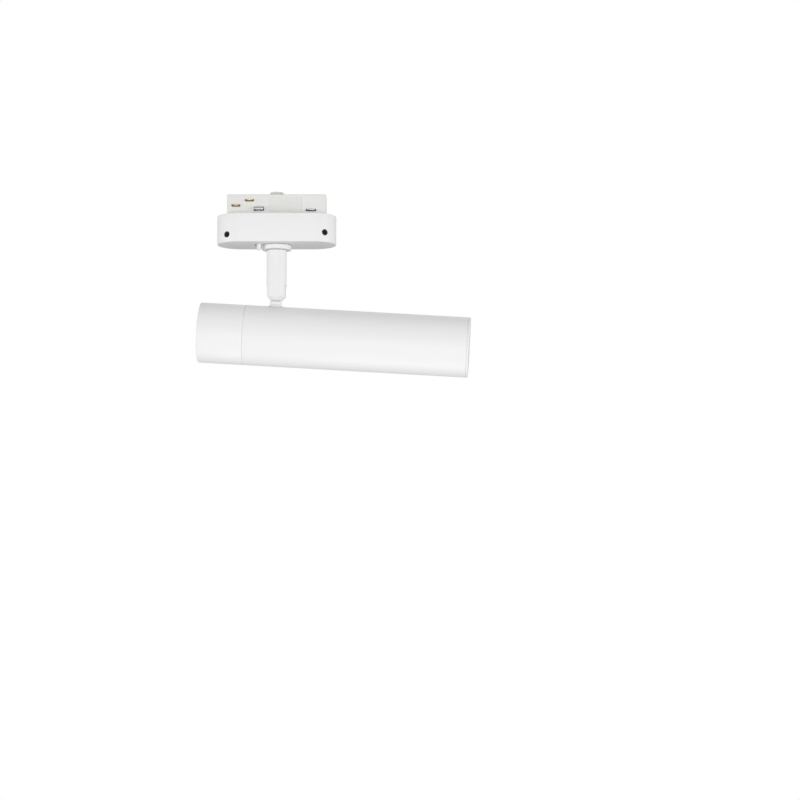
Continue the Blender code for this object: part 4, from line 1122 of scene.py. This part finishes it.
# %% Base plate, insert and posts
low, high = corners("adapter_base")
PLATE, FLOOR_GAP = 0.0020, 0.0003
INSERT_LENGTH, INSERT_WIDTH, INSERT_WALL = 0.066, 0.015, 0.0015
insert_top = high.z
inset = 2 * (HOUSING_WALL + FLOOR_GAP)
base = prism("base_plate", stadium(LENGTH - inset, WIDTH - inset), -PLATE, 0, bevel=0.0003)
half_length, half_width = INSERT_LENGTH / 2, INSERT_WIDTH / 2
insert_low, insert_high = (-half_length, -half_width, -0.001), (half_length, half_width, insert_top)
joins = [block("insert_tool", insert_low, insert_high, bevel=0.0007)]
for side, (sign, _) in GRUBS.items():
    post = on_line(sign, 0.0059, -0.0168)
    joins.append(bar("post_" + side, post, (post.x, post.y, -0.001), 0.0033))
joins.append(bar("pan_post", (0, -0.0086, -0.0142), (0, -0.0086, -0.001), 0.0011))
base = combined(base, "UNION", joins)
print("base plate joined with the insert and posts:", len(base.data.polygons), "faces")

# %% The insert's hollow, panels and slots
cuts = [block(
    "hollow_tool", (INSERT_WALL - half_length, INSERT_WALL - half_width, -0.003),
    (half_length - INSERT_WALL, half_width - INSERT_WALL, insert_top - INSERT_WALL), bevel=0.0004,
)]
for side, (sign, height) in GRUBS.items():
    inner, outer = on_line(sign, 0.0065, height), on_line(sign, 0.0005, height)
    cuts.append(bar("post_way_" + side, inner, outer, GRUB_RADIUS + 0.0003))
PANEL_DEPTH, PANEL_MARGIN = 0.0005, 0.0022
panel_depths = (half_width - PANEL_DEPTH, half_width + 0.001)
panel_levels = (PANEL_MARGIN, insert_top - PANEL_MARGIN)
for sign in (-1, 1):
    cuts.append(side_block(
        "panel_tool", sign, (-0.0055, 0.0175), panel_depths, panel_levels, bevel=0.0003
    ))
STRIP_SLOT, LATCH_SLOT, SPARE, SLOT_DEPTHS = 0.0008, 0.0020, 0.0004, (0.0050, 0.0100)
CONTACTS = [
    ("contact_line_1", -1), ("contact_line_2", -1), ("contact_line_3", 1), ("contact_neutral", 1),
]
LATCHES = [("latch_front", -1), ("latch_rear", 1)]
openings = [("slot_tool", node, sign, STRIP_SLOT) for node, sign in CONTACTS]
openings += [("latch_tool", node, sign, LATCH_SLOT) for node, sign in LATCHES]
openings += [("earth_tool", "earth_clip", sign, STRIP_SLOT) for sign in (-1, 1)]
for name, node, sign, tall in openings:
    low, high = corners(node)
    ends = (low.x - SPARE, high.x + SPARE)
    levels = (high.z - tall - SPARE, high.z + SPARE)
    cuts.append(side_block(name, sign, ends, SLOT_DEPTHS, levels))
cuts.append(bar("shaft_way", (0, 0, insert_top - 0.003), (0, 0, insert_top + 0.001), 0.0025))
base = combined(base, "DIFFERENCE", cuts)
print(len(cuts), "cuts leave", len(base.data.polygons), "faces")

# %% Ribs and pips
FIRST_RIB, RIB_STEP, RIB_WIDTH = -0.0031, 0.0026, 0.0008
rib_size = (RIB_WIDTH, 0.0006, insert_top - 0.0042)
rear_row_end = corners("latch_rear")[0].x - SPARE
raised = []
for sign, row_end in ((-1, 0.0160), (1, rear_row_end)):
    first = (FIRST_RIB, sign * (half_width - 0.00045), insert_top / 2)
    count = 1 + int((row_end - RIB_WIDTH - FIRST_RIB) / RIB_STEP)
    raised.append(row("ribs_%d" % sign, first, (RIB_STEP, 0, 0), rib_size, count))
MARK_CIRCLE, MARK_STEP, MARK_SIZE = 0.0060, 0.0014, (0.0009, 0.0008, 0.0008)
for count, angle in ((1, 120), (2, 180), (3, 240)):
    first = (MARK_CIRCLE, -MARK_STEP * (count - 1) / 2, insert_top)
    around = Matrix.Rotation(math.radians(angle), 4, "Z")
    raised.append(row("marks_%d" % count, first, (0, MARK_STEP, 0), MARK_SIZE, count, around))
dress(combined(base, "UNION", raised), "root", "white_plastic", "adapter_base")

# %% [markdown]
# ## Contacts, earth clip and latches
# The contacts are brass tongues that spring out of the insert's sides to touch the conductors in
# the track. Each is a bent strip: a path of a few points gets a width, and its tip is rounded
# where it wipes the conductor. The latches are cast and have a soft nose.

# %% Strips
def strip(name, path, width, thickness, place, bevel=0.0001):
    """A bent sheet strip: the path runs in XZ, and the width lies along Y."""
    points = [Vector(point) for point in path]
    sides = []
    for index, point in enumerate(points):
        before = points[max(index - 1, 0)]
        after = points[min(index + 1, len(points) - 1)]
        along = (after - before).normalized()
        sides.append((point, Vector((-along.y, along.x)) * thickness / 2))
    outline = [tuple(point + side) for point, side in sides]
    outline += [tuple(point - side) for point, side in reversed(sides)]
    upright = place @ Matrix.Rotation(math.pi / 2, 4, "X")
    return prism(name, outline, -width / 2, width / 2, upright, bevel)


print("strip() is ready")

# %% Contacts
SHEET, LEVEL_DROP, CONTACT_WIDTH, CLIP_WIDTH = 0.0005, 0.0004, 0.0044, 0.0056
for node, sign in CONTACTS:
    low, high = corners(node)
    middle = (low.x + high.x) / 2
    level = high.z - LEVEL_DROP
    tip, root = max(abs(low.y), abs(high.y)), min(abs(low.y), abs(high.y))
    facing = Matrix.Translation((middle, 0, 0)) @ Matrix.Rotation(sign * math.pi / 2, 4, "Z")
    path = []
    for share in (0, 0.25, 0.5, 0.75, 1):
        lift = 0.00024 * math.sin(math.pi * share)
        path.append((tip - 0.0004 - 0.0022 * share, level - 0.00012 + lift))
    path += [
        (root + 0.0012, level), (root + 0.0006, level - 0.0002),
        (root + 0.0004, level - 0.0008), (root + 0.0004, -0.0018),
    ]
    dress(strip("tongue_" + node, path, CONTACT_WIDTH, SHEET, facing), "root", slots[node], node)

# %% Earth clip
low, high = corners("earth_clip")
middle = (low.x + high.x) / 2
clip_level = high.z - LEVEL_DROP
reach = high.y
ends = [
    (reach - 0.0003, clip_level - 0.0001), (reach - 0.0010, clip_level + 0.00012),
    (reach - 0.0020, clip_level + 0.0001),
]
path = ends + [(-x, z) for x, z in reversed(ends)]
across = Matrix.Translation((middle, 0, 0)) @ Matrix.Rotation(math.pi / 2, 4, "Z")
clip = strip("earth_spring", path, CLIP_WIDTH, SHEET, across)
clip_foot = block(
    "earth_foot", (middle - 0.0014, -0.0004, -0.006), (middle + 0.0014, 0.0002, clip_level),
    bevel=0.0001,
)
dress(combined(clip, "UNION", [clip_foot]), "root", slots["earth_clip"], "earth_clip")

# %% Latches
LATCH_BACK, NOSE_TIP, LEG_FRONT, LEG_HALF = 0.0035, 0.0102, 0.0055, 0.0015
for (node, sign), body in zip(LATCHES, ("front_latch", "rear_latch")):
    low, high = corners(node)
    nose = side_block(
        "nose_" + node, sign, (low.x, high.x), (LATCH_BACK, NOSE_TIP),
        (high.z - LATCH_SLOT, high.z), bevel=0.0006, bevel_steps=4,
    )
    middle = (low.x + high.x) / 2
    leg = side_block(
        "leg_tool", sign, (middle - LEG_HALF, middle + LEG_HALF), (LATCH_BACK, LEG_FRONT),
        (low.z, high.z - 0.0010), bevel=0.0003,
    )
    dress(combined(nose, "UNION", [leg]), body, slots[node], node)

# %% [markdown]
# ## Circuit selector
# A small dial on top picks one of the track's three circuits. Its rim is ribbed for grip, and a
# raised pointer in its face turns to one, two or three pips. The ribs stand round a circle, which
# instances do well.

# %% Geometry Nodes: bars round a circle
round_tree, given = new_tree("bars_round_a_circle", [
    ("Count", "Int", 24), ("Radius", "Float", 0.004), ("Size", "Vector", (0.001, 0.001, 0.001)),
    ("Finish", "Material", None),
])
circle = wired(round_tree, "GeometryNodeMeshCircle", {
    "Vertices": given["Count"], "Radius": given["Radius"],
})
outward = wired(round_tree, "GeometryNodeInputPosition").outputs[0]
facing_out = wired(round_tree, "FunctionNodeAlignRotationToVector", {"Vector": outward}, axis="X")
one = wired(round_tree, "GeometryNodeMeshCube", {"Size": given["Size"]})
stood = wired(round_tree, "GeometryNodeInstanceOnPoints", {
    "Points": circle.outputs[0], "Instance": one.outputs[0], "Rotation": facing_out.outputs[0],
})
end_tree(round_tree, stood.outputs[0], given["Finish"])


def bars_round(name, count, radius, size, place):
    """Equal bars that stand round a circle, as one mesh."""
    source = show(name + "_source", bpy.data.meshes.new(name + "_source"))
    run_tree(source, round_tree, count=count, radius=radius, size=size, finish=LOOKS["nylon"])
    source.matrix_world = place
    return baked(source, name)


print("tree bars_round_a_circle")

# %% Circuit selector
low, high = corners("circuit_selector")
dial_top, shaft_low = high.z, low.z
DIAL_RADIUS, DIAL_LOW, SHAFT_RADIUS = 0.0043, 0.0143, 0.0022
dish = dial_top - 0.0006
dial = [
    (0, dish), (0.0030, dish, 0.0002), (0.0033, dial_top, 0.0002), (DIAL_RADIUS, dial_top, 0.0003),
    (DIAL_RADIUS, DIAL_LOW), (SHAFT_RADIUS, DIAL_LOW), (SHAFT_RADIUS, shaft_low), (0, shaft_low),
]
dial = lathe("dial", dial, ROOT, steps=96, ring=False)
KNURLS, KNURL_SIZE = 36, (0.0006, 0.0003, 0.0013)
knurl_place = Matrix.Translation((0, 0, 0.01515))
knurl = bars_round("knurl", KNURLS, DIAL_RADIUS - 0.0001, KNURL_SIZE, knurl_place)
pointer_low, pointer_high = (-0.0031, -0.0005, dial_top - 0.0009), (0.0012, 0.0005, dial_top)
pointer = block("pointer_tool", pointer_low, pointer_high, bevel=0.0002)
wiper = block("wiper_tool", (-0.0045, -0.0011, 0.0087), (0.0045, 0.0011, 0.0097), bevel=0.0002)
dial = combined(dial, "UNION", [knurl, pointer, wiper])
dress(dial, "selector", slots["circuit_selector"], "circuit_selector")

# %% [markdown]
# ## Driver
# The driver turns mains into the steady current that the emitter needs. Its parts are bought in,
# so each has the shape of its kind: a can with a crimped end, a ring wound with wire, a taped
# coil in a ferrite frame, and a connector with two mouths. The windings repeat, so the tree of
# bars round a circle sets them out.

# %% Capacitor and choke
low, high = corners("driver_capacitor", TUBE)
can_length, can_radius = high.x - low.x, (high.z - low.z) / 2
CRIMP, SLEEVE_LIP = 0.0005, 0.0012
lip = can_radius - SLEEVE_LIP
can = [
    (0, can_length - 0.0002), (lip, can_length - 0.0002), (lip, can_length),
    (can_radius, can_length, 0.0005), (can_radius, 0.0031, 0.0003),
    (can_radius - CRIMP, 0.0025, 0.0003), (can_radius, 0.0019, 0.0003), (can_radius, 0, 0.0004),
    (lip, 0), (lip, CRIMP), (0, CRIMP),
]
can_end = TUBE @ Matrix.Translation((low.x, (low.y + high.y) / 2, (low.z + high.z) / 2))
can_end = can_end @ Matrix.Rotation(math.pi / 2, 4, "Y")
can = lathe("capacitor_can", can, can_end, steps=64, ring=False)
dress(can, "head", slots["driver_capacitor"], "driver_capacitor")

low, high = corners("driver_choke", TUBE)
choke_radius, half_height = (high.x - low.x) / 2, (high.z - low.z) / 2
CHOKE_BORE, WIRE, TURNS = 0.0018, 0.0004, 20
core_in, core_out, core_half = CHOKE_BORE + WIRE, choke_radius - WIRE, half_height - WIRE
core = [
    (core_in, core_half, 0.0004), (core_out, core_half, 0.0004),
    (core_out, -core_half, 0.0004), (core_in, -core_half, 0.0004),
]
choke_place = TUBE @ Matrix.Translation((low + high) / 2)
core = lathe("choke_winding", core, choke_place, steps=80)
turn_size = (choke_radius - CHOKE_BORE, WIRE, 2 * half_height - 0.0001)
turn_circle = (CHOKE_BORE + choke_radius) / 2 - 0.00005
wires = bars_round("choke_wires", TURNS, turn_circle, turn_size, choke_place)
dress(combined(core, "UNION", [wires]), "head", slots["driver_choke"], "driver_choke")

# %% Transformer
low, high = corners("driver_transformer", TUBE)
WINDOW, FRAME_HALF, TAPE_ROUND = 0.0026, 0.0030, 0.0020
coil_low, coil_high = low + Vector((WINDOW, 0, 0.0016)), high - Vector((WINDOW, 0, 0.0016))
frame_low, frame_high = Vector((low.x, -FRAME_HALF, low.z)), Vector((high.x, FRAME_HALF, high.z))
coil = block("transformer_coil", coil_low, coil_high, TUBE, bevel=TAPE_ROUND, bevel_steps=5)
dress(coil, "head", slots["driver_transformer"], "driver_transformer")
air = Vector((0.0001, 0.0001, 0.0001))
ferrite = block("ferrite_frame", frame_low, frame_high, TUBE, bevel=0.0003)
coil_way = block(
    "coil_way", coil_low - air, coil_high + air, TUBE, bevel=TAPE_ROUND, bevel_steps=5
)
dress(combined(ferrite, "DIFFERENCE", [coil_way]), "head", "black_plastic")

# %% Connector
low, high = corners("driver_connector", TUBE)
plug = block("wire_connector", low, high, TUBE, bevel=0.0003)
MOUTHS, MOUTH_STEP, MOUTH_SIZE = 2, 0.0040, (0.0060, 0.0026, 0.0026)
first_mouth = (low.x, (low.y + high.y) / 2 - MOUTH_STEP / 2, (low.z + high.z) / 2)
mouths = row("mouth_tools", first_mouth, (0, MOUTH_STEP, 0), MOUTH_SIZE, MOUTHS, TUBE)
dress(combined(plug, "DIFFERENCE", [mouths]), "head", slots["driver_connector"], "driver_connector")

# %% Circuit card
low, high = corners("driver_board", TUBE)
card = block("circuit_card", low, high, TUBE, bevel=0.0002)
PADS, PAD_STEP, PAD_SIZE = 9, 0.0070, (0.0022, 0.0030, 0.0050)
HOLE_RADIUS, HOLE_INSET = 0.0009, 0.0022
first_x = (low.x + high.x) / 2 - PAD_STEP * (PADS - 1) / 2
pads = []
for sign in (-1, 1):
    first_pad = (first_x, sign * (high.y - 0.0012), high.z - 0.0005)
    pads.append(row("pad_notches_%d" % sign, first_pad, (PAD_STEP, 0, 0), PAD_SIZE, PADS, TUBE))
holes = []
for x in (low.x + HOLE_INSET, high.x - HOLE_INSET):
    for y in (low.y + 2 * HOLE_INSET, high.y - 2 * HOLE_INSET):
        under, over = (x, y, low.z - THROUGH), (x, y, high.z + THROUGH)
        holes.append(bar("card_hole", under, over, HOLE_RADIUS, TUBE, sides=24))
dress(combined(card, "DIFFERENCE", pads + holes), "head", slots["driver_board"], "driver_board")

# %% [markdown]
# ## Light engine board and screws
# The emitter sits on a round metal board with a thermal pad behind it, and pan-head screws with
# a cross recess hold the stack. A loop makes both screws, each from its CAD box.

# %% Board and pad
PLATE_HOLE, PLATE_CIRCLE = 0.0008, 0.0105
for node, name in (("led_board", "engine_board"), ("thermal_pad", "soft_pad")):
    low, high = corners(node, TUBE)
    edge = 0.3 * (high.x - low.x)
    plate = [(0, high.x), (high.y, high.x, edge), (high.y, low.x, edge), (0, low.x)]
    plate = lathe(name, plate, ALONG, ring=False)
    holes = []
    for sign in (-1, 1):
        back = (low.x - THROUGH, sign * PLATE_CIRCLE, 0)
        front = (high.x + THROUGH, sign * PLATE_CIRCLE, 0)
        holes.append(bar("plate_hole", back, front, PLATE_HOLE, TUBE, sides=24))
    dress(combined(plate, "DIFFERENCE", holes), "head", slots[node], node)

# %% Holder screws
HEAD_HEIGHT, SHANK = 0.0015, 0.0013
CROSS_LONG, CROSS_WIDE, CROSS_DEPTH = 0.0011, 0.0003, 0.0008
for number in (1, 2):
    node = "holder_screw_%d" % number
    low, high = corners(node, TUBE)
    head_radius, length = (high.y - low.y) / 2, high.x - low.x
    stand = TUBE @ Matrix.Translation((low.x, (low.y + high.y) / 2, 0))
    stand = stand @ Matrix.Rotation(math.pi / 2, 4, "Y")
    body = [
        (0, length), (head_radius, length, 0.0008), (head_radius, length - HEAD_HEIGHT, 0.0001),
        (SHANK, length - HEAD_HEIGHT), (SHANK, 0.0004), (SHANK - 0.0004, 0), (0, 0),
    ]
    body = lathe("pan_screw_%d" % number, body, stand, steps=48, ring=False)
    cross = [
        block("cross_tool", (-a, -b, length - CROSS_DEPTH), (a, b, length + THROUGH), stand)
        for a, b in ((CROSS_LONG, CROSS_WIDE), (CROSS_WIDE, CROSS_LONG))
    ]
    dress(combined(body, "DIFFERENCE", cross), "head", slots[node], node)

# %% [markdown]
# ## The dressed lamp's box
# The dressed lamp has to fill the same box as the plain one. Here its box is measured and printed.

# %% Sizes
low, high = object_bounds()
print("box", [round(1000 * value, 2) for value in (high - low)], "mm")
